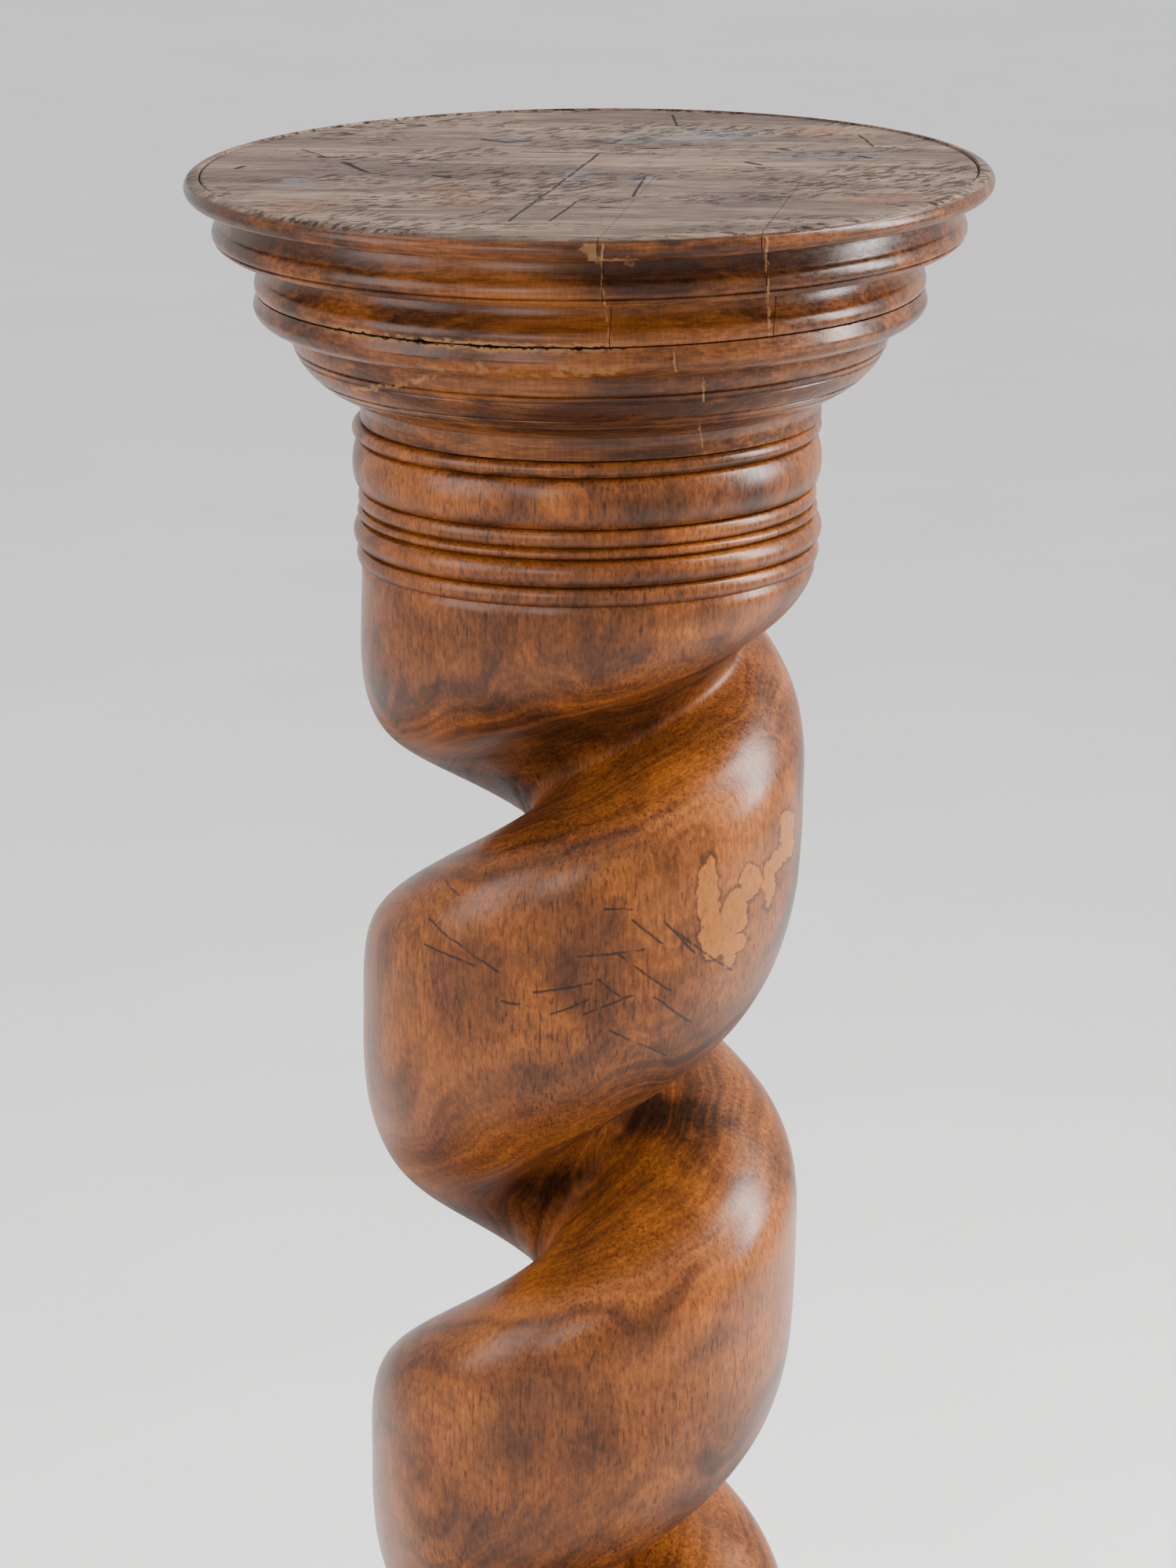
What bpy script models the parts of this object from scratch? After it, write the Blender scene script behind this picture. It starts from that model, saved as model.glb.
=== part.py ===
"""Turned and carved wood pedestal with a deep spiral groove round its shaft.

Metres, +Z up. The origin is the middle of the underside, and the front is towards -Y.
From the floor up: a round plinth, a base moulding, one log that is turned at both ends and
carved as a twist between them, and a capital glued up from two boards. A block is let into
the front right of the upper board.
"""

import math

import bmesh
import bpy
from mathutils import Vector

# Heights of the boards and of the log's three stretches, from the floor up
PLINTH_HEIGHT = 0.062
BASE_HEIGHT = 0.098
COLLAR_HEIGHT = 0.060
TWIST_HEIGHT = 0.6936
NECK_HEIGHT = 0.0687
BOWL_HEIGHT = 0.0614
TOP_HEIGHT = 0.0543
GLUE_GAP = 0.0003

# Foot: the plinth, and above it a board whose steps go in from the plinth's edge
PLINTH_RADIUS = 0.176
PLINTH_STEP_IN = 0.011
PLINTH_STEP_HEIGHT = 0.008
PLINTH_EDGE = 0.007
PLINTH_EDGE_START = 80.0
PLINTH_CHAMFER = 0.003
BASE_BEAD_IN = 0.016
BASE_BEAD_DEPTH = 0.012
BASE_BEAD_HEIGHT = 0.024
BASE_BEAD_START = 80.0
BASE_HOLLOW_HEIGHT = 0.008
BASE_LEDGE = 0.004
BASE_BOWL_START = 70.0
BASE_NECK_OUT = 0.006
BASE_NECK_HEIGHT = 0.010

# Turned ends of the log, which stands a little to the left of the boards' centre
LOG_SHIFT = -0.0020
NECK_RADIUS = 0.111
NECK_GROOVE = 0.0035
NECK_BEAD_SHARES = (0.14, 0.34, 0.20, 0.19, 0.13)
COLLAR_RADIUS = 0.106
COLLAR_GROOVE = 0.004
COLLAR_BEADS = 3
BEAD_SWEEP = 60.0

# The twist: one right-handed groove, with a rounded strand between its turns
TWIST_TOP_RADIUS = 0.1071
TWIST_FOOT_RADIUS = 0.1018
TWIST_PITCH = 0.2276
GROOVE_START = 16.93
GROOVE_SAG = -0.0054
GROOVE_FLOOR_RADIUS = 0.0117
GROOVE_FLOOR_SOFTNESS = 0.024
UPPER_FLOOR_SHARE = 0.161
LOWER_FLOOR_SHARE = 0.244
UPPER_FLATNESS = 2.69
LOWER_FLATNESS = 4.83
UPPER_FULLNESS = 3.37
LOWER_FULLNESS = 2.19
SIDES_BLEND = 0.8
GROOVE_START_DROP = 0.0049
GROOVE_RUN_IN = 0.1504
RUN_IN_CURVE = 0.536
RUN_IN_TURN = 28.4
RUN_IN_TURN_HEIGHT = 0.1459
GROOVE_END_RISE = 0.0049
GROOVE_RUN_OUT = 0.0326
TWIST_TOP_SHIFT = -0.0037
TWIST_FOOT_SHIFT = -0.0082

# Capital: the rim bead, and below it rings that step in from the rim
RIM_RADIUS = 0.190
RIM_BEAD_DEPTH = 0.007
RIM_BEAD_HEIGHT = 0.0110
RIM_RISE = 0.0008
FIRST_RING_IN = 0.0128
FIRST_RING_HOLLOW = 0.0052
FIRST_RING_MIDDLE = 0.0262
SECOND_RING_IN = 0.0320
SECOND_RING_HOLLOW = 0.0060
SECOND_RING_MIDDLE = 0.0508
RING_HOLLOW_CURVE = 0.35
RING_ROLL = 0.0068
RING_ROLL_START = 50.0
RING_ROLL_END = -70.0
RING_UNDERCUT = 0.003
LOWER_BEAD_IN = 0.0313
LOWER_BEAD_DEPTH = 0.0167
LOWER_BEAD_HEIGHT = 0.016
LOWER_BEAD_UPPER_SHARE = 0.36
BOWL_SWEEP = 62.0
COVE_IN = 0.0020
COVE_LIP = 0.0012
COVE_HEIGHT = 0.006

# Block let into the capital's upper board; its sides lean to the right of straight back
BLOCK_TURN = 9.2
BLOCK_LEFT = 0.0336
BLOCK_WIDTH = 0.0690
BLOCK_BACK_LEFT = -0.0153
BLOCK_BACK_RIGHT = -0.0247
CUTTER_MARGIN = 0.010

# Fineness of the faceted solids
TURNING_SIDES = 40
STRAND_SIDES = 28
TWIST_LEVELS_PER_TURN = 19
RUN_OUT_LEVELS = 7
SHARP_ANGLE = 35.0
MERGE_DISTANCE = 0.00001


def wood(name, colour, roughness):
    """A plain wood colour for one piece."""
    material = bpy.data.materials.new(name)
    material.use_nodes = True
    shader = material.node_tree.nodes["Principled BSDF"]
    shader.inputs["Base Color"].default_value = (*colour, 1.0)
    shader.inputs["Roughness"].default_value = roughness
    shader.inputs["Metallic"].default_value = 0.0
    return material


def place(mesh, name, material):
    """Put a mesh in the scene as one shaded piece."""
    mesh.materials.append(material)
    mesh.shade_smooth()
    mesh.set_sharp_from_angle(angle=math.radians(SHARP_ANGLE))
    piece = bpy.data.objects.new(name, mesh)
    bpy.context.scene.collection.objects.link(piece)
    return piece


def arc(centre, radii, start, end, count):
    """Points on an ellipse from start to end degrees: 0 is outwards and 90 is up."""
    points = []
    for step in range(count + 1):
        angle = math.radians(start + (end - start) * step / count)
        outwards = centre[0] + radii[0] * math.cos(angle)
        upwards = centre[1] + radii[1] * math.sin(angle)
        points.append((outwards, upwards))
    return points


def turned(name, outline, material):
    """A turned solid from an outline of (radius, height) that runs down its outer side."""
    mesh = bpy.data.meshes.new(name)
    top = (0.0, 0.0, outline[0][1])
    bottom = (0.0, 0.0, outline[-1][1])
    points = [top] + [(radius, 0.0, height) for radius, height in outline] + [bottom]
    mesh.from_pydata(points, [(step, step + 1) for step in range(len(points) - 1)], [])
    piece = place(mesh, name, material)
    screw = piece.modifiers.new("turning", "SCREW")
    screw.axis = "Z"
    screw.angle = math.tau
    screw.steps = TURNING_SIDES
    screw.render_steps = TURNING_SIDES
    screw.use_merge_vertices = True
    screw.merge_threshold = MERGE_DISTANCE
    screw.use_smooth_shade = True
    return piece


def beads(top, heights, radius, groove):
    """Half-round beads under each other, parted by grooves, as (radius, height) points."""
    points = [(radius - groove, top)]
    for height in heights:
        centre = (radius - groove, top - height / 2)
        points += arc(centre, (groove, height / 2), BEAD_SWEEP, -BEAD_SWEEP, 2)
        top -= height
        points.append((radius - groove, top))
    return points


def stepped_ring(radius, depth, top, middle, foot):
    """A ring of the capital: a hollow under the step above, then a roll that ends at its foot."""
    root = radius - depth
    hollow = (root + RING_HOLLOW_CURVE * depth, (top + middle + RING_ROLL) / 2)
    foot_angle = math.degrees(math.asin(max(-1.0, (foot - middle) / RING_ROLL)))
    roll_centre = (radius - RING_ROLL, middle)
    roll = arc(roll_centre, (RING_ROLL, RING_ROLL), RING_ROLL_START, max(RING_ROLL_END, foot_angle), 3)
    return [(root, top), hollow] + roll


def section_radius(from_groove, crest):
    """Radius of the twist's level section at an angle from the groove's middle.

    The strand stays nearly flat over its crest and rounds over to a deep groove. Its shoulders above
    and below the groove have their own shape, which blend across the groove's floor.
    """
    below = smooth(0.5 + from_groove / SIDES_BLEND)
    floor_share = UPPER_FLOOR_SHARE + (LOWER_FLOOR_SHARE - UPPER_FLOOR_SHARE) * below
    flatness = UPPER_FLATNESS + (LOWER_FLATNESS - UPPER_FLATNESS) * below
    fullness = UPPER_FULLNESS + (LOWER_FULLNESS - UPPER_FULLNESS) * below
    open_share = (abs(from_groove) / math.pi - floor_share) / (1.0 - floor_share)
    softened = open_share + math.hypot(open_share, GROOVE_FLOOR_SOFTNESS)
    open_share = softened / (1.0 + math.hypot(1.0, GROOVE_FLOOR_SOFTNESS))
    rise = (1.0 - (1.0 - min(open_share, 1.0)) ** flatness) ** (1.0 / fullness)
    return GROOVE_FLOOR_RADIUS + (crest - GROOVE_FLOOR_RADIUS) * rise


def smooth(value):
    """An even change from 0 to 1."""
    value = min(max(value, 0.0), 1.0)
    return value * value * (3.0 - 2.0 * value)


def twist_heights(twist_top, twist_foot):
    """Heights of the twist's levels, closer together where the groove runs out at both ends."""
    run_out = GROOVE_END_RISE + GROOVE_RUN_OUT
    middle_height = TWIST_HEIGHT - 2 * run_out
    middle_levels = max(1, round(middle_height / TWIST_PITCH * TWIST_LEVELS_PER_TURN))
    heights = [twist_top - run_out * level / RUN_OUT_LEVELS for level in range(1, RUN_OUT_LEVELS)]
    heights += [twist_top - run_out - middle_height * level / middle_levels
                for level in range(middle_levels + 1)]
    heights += [twist_foot + run_out * level / RUN_OUT_LEVELS for level in range(RUN_OUT_LEVELS - 1, 0, -1)]
    return heights


def carved_shaft(name, foot, material):
    """The log: beads at both ends, and the twist between them, as one closed solid."""
    twist_foot = foot + COLLAR_HEIGHT
    twist_top = twist_foot + TWIST_HEIGHT
    top = twist_top + NECK_HEIGHT

    neck_heights = [share * NECK_HEIGHT for share in NECK_BEAD_SHARES]
    neck = beads(top, neck_heights, NECK_RADIUS, NECK_GROOVE)
    collar = beads(twist_foot, [COLLAR_HEIGHT / COLLAR_BEADS] * COLLAR_BEADS, COLLAR_RADIUS, COLLAR_GROOVE)
    twist = [(TWIST_TOP_RADIUS, height) for height in twist_heights(twist_top, twist_foot)]

    shape = bmesh.new()
    outline = [(0.0, top)] + neck + twist + collar + [(0.0, foot)]
    points = [shape.verts.new((radius, 0.0, height)) for radius, height in outline]
    edges = [shape.edges.new(pair) for pair in zip(points, points[1:])]
    bmesh.ops.spin(shape, geom=points + edges, cent=(0.0, 0.0, 0.0), axis=(0.0, 0.0, 1.0),
                   angle=math.tau, steps=STRAND_SIDES, use_merge=True)
    bmesh.ops.remove_doubles(shape, verts=shape.verts[:], dist=MERGE_DISTANCE)

    for point in shape.verts:
        height = point.co.z
        turned_radius = math.hypot(point.co.x, point.co.y)
        if turned_radius < MERGE_DISTANCE:
            point.co.x = LOG_SHIFT
            continue
        below_top = twist_top - min(max(height, twist_foot), twist_top)
        down = below_top / TWIST_HEIGHT
        from_groove = math.atan2(point.co.y, point.co.x)
        azimuth = from_groove + math.radians(GROOVE_START) - math.tau * below_top / TWIST_PITCH
        azimuth += math.radians(RUN_IN_TURN) * smooth(1.0 - below_top / RUN_IN_TURN_HEIGHT)
        azimuth += math.tau * GROOVE_SAG / TWIST_PITCH * (1.0 - math.cos(azimuth)) / 2
        crest = TWIST_TOP_RADIUS + (TWIST_FOOT_RADIUS - TWIST_TOP_RADIUS) * down
        from_end = min(twist_top - height, height - twist_foot)
        carved = smooth((twist_top - height - GROOVE_START_DROP) / GROOVE_RUN_IN) ** RUN_IN_CURVE
        carved *= smooth((height - twist_foot - GROOVE_END_RISE) / GROOVE_RUN_OUT)
        if from_end > 0.0:
            turned_radius = NECK_RADIUS - NECK_GROOVE if down < 0.5 else COLLAR_RADIUS - COLLAR_GROOVE
        carved_radius = section_radius(from_groove, crest)
        radius = turned_radius + carved * (carved_radius - turned_radius)
        shift = carved * (TWIST_TOP_SHIFT + (TWIST_FOOT_SHIFT - TWIST_TOP_SHIFT) * down)
        point.co.x = radius * math.cos(azimuth) + LOG_SHIFT + shift
        point.co.y = radius * math.sin(azimuth)

    bmesh.ops.recalc_face_normals(shape, faces=shape.faces[:])
    mesh = bpy.data.meshes.new(name)
    shape.to_mesh(mesh)
    shape.free()
    return place(mesh, name, material)


def capital_outline(top):
    """The upper board of the capital: the rim bead and two stepped rings."""
    flat_radius = RIM_RADIUS - RIM_BEAD_DEPTH
    bead_middle = top + RIM_RISE - RIM_BEAD_HEIGHT / 2
    first_middle = top - FIRST_RING_MIDDLE
    first_foot = first_middle - RING_ROLL
    second_middle = top - SECOND_RING_MIDDLE
    outline = [(flat_radius, top)]
    outline += arc((flat_radius, bead_middle), (RIM_BEAD_DEPTH, RIM_BEAD_HEIGHT / 2), 90.0, -90.0, 4)
    outline += stepped_ring(RIM_RADIUS - FIRST_RING_IN, FIRST_RING_HOLLOW,
                            bead_middle - RIM_BEAD_HEIGHT / 2, first_middle, first_foot)
    outline += stepped_ring(RIM_RADIUS - SECOND_RING_IN, SECOND_RING_HOLLOW,
                            first_foot - RING_UNDERCUT, second_middle, top - TOP_HEIGHT)
    return outline


def joint_radius():
    """Radius of the capital where its two boards meet, part way round the second ring's roll."""
    below_middle = TOP_HEIGHT - SECOND_RING_MIDDLE
    roll_reach = math.sqrt(max(0.0, RING_ROLL ** 2 - below_middle ** 2))
    return RIM_RADIUS - SECOND_RING_IN - RING_ROLL + roll_reach


def bowl_outline(top):
    """The lower board of the capital: a bead, then a bowl that runs in to a plain cove."""
    bead_foot_radius = RIM_RADIUS - LOWER_BEAD_IN - LOWER_BEAD_DEPTH
    bead_middle = top - LOWER_BEAD_HEIGHT * LOWER_BEAD_UPPER_SHARE
    bead_foot = top - LOWER_BEAD_HEIGHT
    cove_radius = NECK_RADIUS - COVE_IN
    bowl_height = BOWL_HEIGHT - LOWER_BEAD_HEIGHT - COVE_HEIGHT
    bowl_depth = (bead_foot_radius - cove_radius - COVE_LIP) / (1.0 - math.cos(math.radians(BOWL_SWEEP)))
    outline = [(joint_radius(), top)]
    bead_radii = (LOWER_BEAD_DEPTH, bead_middle - bead_foot)
    outline += arc((bead_foot_radius, bead_middle), bead_radii, 0.0, -90.0, 4)
    bowl_radii = (bowl_depth, bowl_height)
    outline += arc((bead_foot_radius - bowl_depth, bead_foot), bowl_radii, 0.0, -BOWL_SWEEP, 5)
    outline.append((cove_radius, bead_foot - bowl_height))
    outline.append((cove_radius, top - BOWL_HEIGHT))
    return outline


def base_outline(top):
    """The board under the shaft: a short neck, a bowl turned upside down and a bead."""
    neck_radius = COLLAR_RADIUS + BASE_NECK_OUT
    bowl_radius = PLINTH_RADIUS - BASE_BEAD_IN - BASE_BEAD_DEPTH
    bead_top = top - BASE_HEIGHT + BASE_HOLLOW_HEIGHT + BASE_BEAD_HEIGHT
    bowl_radii = (bowl_radius - neck_radius + BASE_LEDGE, top - BASE_NECK_HEIGHT - bead_top)
    bead_middle = bead_top - BASE_BEAD_HEIGHT / 2
    bead_radii = (BASE_BEAD_DEPTH, BASE_BEAD_HEIGHT / 2)
    outline = [(neck_radius, top), (neck_radius, top - BASE_NECK_HEIGHT)]
    outline += arc((neck_radius - BASE_LEDGE, bead_top), bowl_radii, BASE_BOWL_START, 0.0, 4)
    outline += arc((bowl_radius, bead_middle), bead_radii, BASE_BEAD_START, -90.0, 4)
    outline.append((bowl_radius, top - BASE_HEIGHT))
    return outline


def plinth_outline(top):
    """The foot: a low step, then a plain band with rounded edges and a flat underside."""
    band_top = top - PLINTH_STEP_HEIGHT
    step_radius = PLINTH_RADIUS - PLINTH_STEP_IN
    outline = [(step_radius, top), (step_radius, band_top)]
    corner = (PLINTH_RADIUS - PLINTH_EDGE, band_top - PLINTH_EDGE)
    outline += arc(corner, (PLINTH_EDGE, PLINTH_EDGE), PLINTH_EDGE_START, 0.0, 3)
    outline += [(PLINTH_RADIUS, PLINTH_CHAMFER), (PLINTH_RADIUS - PLINTH_CHAMFER, 0.0)]
    return outline


def block_prism(name, foot, top, clearance):
    """A guide in the outline of the let-in block, grown by the clearance on its three glued sides."""
    turn = math.radians(BLOCK_TURN)
    along = Vector((math.sin(turn), math.cos(turn), 0.0))
    across = Vector((math.cos(turn), -math.sin(turn), 0.0))
    left = BLOCK_LEFT - clearance
    right = BLOCK_LEFT + BLOCK_WIDTH + clearance
    front = -2 * RIM_RADIUS
    back_left = BLOCK_BACK_LEFT + clearance
    back_right = BLOCK_BACK_RIGHT + clearance
    corners = [(left, front), (right, front), (right, back_right), (left, back_left)]
    floor = Vector((0.0, 0.0, foot))
    shape = bmesh.new()
    face = shape.faces.new([shape.verts.new(across * a + along * b + floor) for a, b in corners])
    lifted = bmesh.ops.extrude_face_region(shape, geom=[face])["geom"]
    moved = [item for item in lifted if isinstance(item, bmesh.types.BMVert)]
    bmesh.ops.translate(shape, verts=moved, vec=(0.0, 0.0, top - foot))
    bmesh.ops.recalc_face_normals(shape, faces=shape.faces[:])
    mesh = bpy.data.meshes.new(name)
    shape.to_mesh(mesh)
    shape.free()
    guide = bpy.data.objects.new(name, mesh)
    guide.display_type = "WIRE"
    guide.hide_render = True
    bpy.context.scene.collection.objects.link(guide)
    return guide


def cut(piece, guide, operation):
    """Cut a piece by a guide, or keep only what is inside the guide."""
    modifier = piece.modifiers.new(operation.lower(), "BOOLEAN")
    modifier.operation = operation
    modifier.object = guide
    modifier.solver = "EXACT"


def build():
    """Make the six pieces, from the floor up."""
    for old in list(bpy.data.objects):
        bpy.data.objects.remove(old)

    base_foot = PLINTH_HEIGHT + GLUE_GAP
    shaft_foot = base_foot + BASE_HEIGHT + GLUE_GAP
    shaft_top = shaft_foot + COLLAR_HEIGHT + TWIST_HEIGHT + NECK_HEIGHT
    bowl_foot = shaft_top + GLUE_GAP
    top_foot = bowl_foot + BOWL_HEIGHT + GLUE_GAP
    top = top_foot + TOP_HEIGHT

    plinth_wood = wood("base_plinth", (0.12, 0.05, 0.025), 0.4)
    base_wood = wood("base_moulding", (0.15, 0.065, 0.03), 0.4)
    shaft_wood = wood("twisted_shaft", (0.30, 0.13, 0.05), 0.45)
    bowl_wood = wood("capital_bowl", (0.17, 0.07, 0.03), 0.35)
    board_wood = wood("capital_top", (0.16, 0.07, 0.035), 0.4)
    block_wood = wood("let_in_block", (0.19, 0.08, 0.03), 0.4)

    turned("base_plinth", plinth_outline(PLINTH_HEIGHT), plinth_wood)
    turned("base_moulding", base_outline(base_foot + BASE_HEIGHT), base_wood)
    carved_shaft("twisted_shaft", shaft_foot, shaft_wood)
    turned("capital_bowl", bowl_outline(bowl_foot + BOWL_HEIGHT), bowl_wood)
    board = turned("capital_top", capital_outline(top), board_wood)
    block = turned("let_in_block", capital_outline(top), block_wood)

    below = top_foot - CUTTER_MARGIN
    above = top + CUTTER_MARGIN
    cut(board, block_prism("pocket_guide", below, above, GLUE_GAP), "DIFFERENCE")
    cut(block, block_prism("block_guide", below, above, 0.0), "INTERSECT")


build()
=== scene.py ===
"""Surfaces, finish, light and camera for a turned and carved wood pedestal.

Metres, +Z up, front towards -Y. The packed solids give every place and size. Each piece here is a
finer shape of one solid, with its incised lines, open glue joint, repairs, wear and polish.
"""

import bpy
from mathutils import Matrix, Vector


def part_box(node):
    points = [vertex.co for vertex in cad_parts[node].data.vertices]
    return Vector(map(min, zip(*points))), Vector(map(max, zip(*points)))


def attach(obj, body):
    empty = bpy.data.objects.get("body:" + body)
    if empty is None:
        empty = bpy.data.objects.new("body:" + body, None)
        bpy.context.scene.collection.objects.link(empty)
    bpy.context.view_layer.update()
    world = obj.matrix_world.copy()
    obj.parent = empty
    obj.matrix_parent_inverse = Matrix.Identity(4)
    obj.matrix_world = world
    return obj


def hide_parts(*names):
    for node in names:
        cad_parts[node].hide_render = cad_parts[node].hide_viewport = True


bl_info = {
    "name": "Carved Wood Pedestal",
    "version": (1, 0, 0),
    "blender": (4, 5, 0),
    "location": "View3D > Sidebar > Pedestal",
    "description": "Shapes and finishes a turned pedestal with a twisted shaft, piece by piece",
    "category": "Object",
}

import math

import bmesh
import bpy
import numpy as np
from bpy.props import FloatProperty, FloatVectorProperty, PointerProperty
from mathutils import Matrix, Vector, noise

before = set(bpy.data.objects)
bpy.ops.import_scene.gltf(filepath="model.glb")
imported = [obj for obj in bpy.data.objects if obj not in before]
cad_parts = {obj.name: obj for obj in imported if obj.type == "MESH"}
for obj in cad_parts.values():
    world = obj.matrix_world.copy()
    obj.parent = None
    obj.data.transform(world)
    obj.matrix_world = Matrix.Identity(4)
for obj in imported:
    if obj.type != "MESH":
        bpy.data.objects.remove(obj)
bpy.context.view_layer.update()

BOARD_LOW, BOARD_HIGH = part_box("capital_top")
BOWL_LOW, BOWL_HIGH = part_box("capital_bowl")
SHAFT_LOW, SHAFT_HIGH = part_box("twisted_shaft")
BASE_LOW, BASE_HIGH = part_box("base_moulding")
PLINTH_LOW, PLINTH_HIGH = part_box("base_plinth")

MERGE_DISTANCE = 0.00001
SECTORS = 12
CAPITAL_SIDES = 360
CAPITAL_SPACING = 0.0009
BOWL_SPACING = 0.00076
SHAFT_SIDES = 228
TWIST_LEVELS = 279
BASE_SIDES = 300
BASE_SPACING = 0.0025

# Angle from the groove's middle over which the strand's upper shape passes into its lower one, in radians
SIDES_BLEND = 0.8

# Greatest unevenness of the turned boards, and the fine groove between the flat top and the rim bead
HAND_WORK = 0.0004
RIM_GROOVE = 0.0008

# Where a ring's rolled edge begins and the most that it turns under, in degrees, and the hollow above it
ROLL_START = 50.0
ROLL_END = -78.0
RING_HOLLOW = 0.0010

# Smoothing passes and reach of the relief that shows where wax and wear lie, and where painted shade darkens
# the creases
BOARD_RELIEF = (6, 0.0006)
LOG_RELIEF = (60, 0.0022)
BASE_RELIEF = (16, 0.0012)

# Incised lines of the boards: distance below the flat top, depth, width
CAPITAL_LINES = ((0.0291, 0.0012, 0.0016), (0.0316, 0.0006, 0.0012))
BOWL_LINES = tuple((below, 0.0010, 0.0016) for below in (0.0803, 0.0836, 0.0931, 0.0968))

# Beads of the neck from the top: height, crest radius, radius of the valley below
NECK_TOP_VALLEY = 0.1080
NECK_BEADS = ((0.0083, 0.1111, 0.1074), (0.0244, 0.1111, 0.1066), (0.0086, 0.1086, 0.1066),
              (0.0054, 0.1091, 0.1066), (0.0129, 0.1110, 0.1072), (0.0091, 0.1096, 0.1075))


def length(name, default, description):
    """A size in metres that a user can change."""
    return FloatProperty(name=name, description=description, default=default, unit="LENGTH", precision=4)


def angle(name, default, description):
    """An angle that a user can change; its default is given in degrees."""
    return FloatProperty(name=name, description=description, default=math.radians(default), unit="ROTATION")


def share(name, default, description):
    """A plain number that a user can change."""
    return FloatProperty(name=name, description=description, default=default)


def colour(name, default, description):
    """A colour that a user can change."""
    return FloatVectorProperty(name=name, description=description, default=default, subtype="COLOR",
                               size=3, min=0.0, max=1.0)


class CapitalSizes(bpy.types.PropertyGroup):
    """Sizes of the turned capital, from its flat top down to the shaft."""

    rim_radius: length("Rim radius", BOARD_HIGH.x, "Radius over the rim bead")
    rim_rise: length("Rim rise", 0.0008, "How far the rim bead stands above the flat top")
    bead_depth: length("Rim bead depth", 0.0070, "How far the rim bead stands out of the flat top's edge")
    bead_height: length("Rim bead height", 0.0110, "Height of the rim bead")
    first_in: length("First ring inset", 0.0128, "How far the first ring stands in from the rim")
    first_hollow: length("First ring hollow", 0.0052, "Depth of the hollow above the first ring's roll")
    first_middle: length("First ring depth", 0.0262, "Depth of the first ring's roll below the top")
    second_in: length("Second ring inset", 0.0320, "How far the second ring stands in from the rim")
    second_hollow: length("Second ring hollow", 0.0060, "Depth of the hollow above the second ring's roll")
    second_middle: length("Second ring depth", 0.0508, "Depth of the second ring's roll below the top")
    roll: length("Ring roll", 0.0068, "Radius of the rings' rolled edges")
    undercut: length("Ring undercut", 0.0030, "Fall of the face under the first ring")
    lower_in: length("Lower bead inset", 0.0313, "How far the lower bead stands in from the rim")
    lower_depth: length("Lower bead depth", 0.0167, "How far the lower bead stands out of the bowl")
    lower_height: length("Lower bead height", 0.0160, "Height of the lower bead")
    lower_share: share("Lower bead crest", 0.36, "Share of the lower bead's height above its crest")
    bowl_sweep: angle("Bowl sweep", 62.0, "Angle that the bowl's outline sweeps through")
    cove_radius: length("Cove radius", 0.1090, "Radius of the plain cove under the bowl")
    cove_lip: length("Cove lip", 0.0012, "Step between the bowl's outline and the cove")
    cove_height: length("Cove height", 0.0060, "Height of the plain cove")
    block_turn: angle("Block turn", 9.2, "Lean of the let-in block's sides from straight back")
    block_left: length("Block left side", 0.0336, "Distance of the block's left side from the middle")
    block_width: length("Block width", 0.0690, "Width of the let-in block")
    block_back_left: length("Block back left", -0.0153, "Place of the block's back left corner")
    block_back_right: length("Block back right", -0.0247, "Place of the block's back right corner")
    glue_gap: length("Glue gap", 0.0003, "Width of the glue line round the block")


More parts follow.
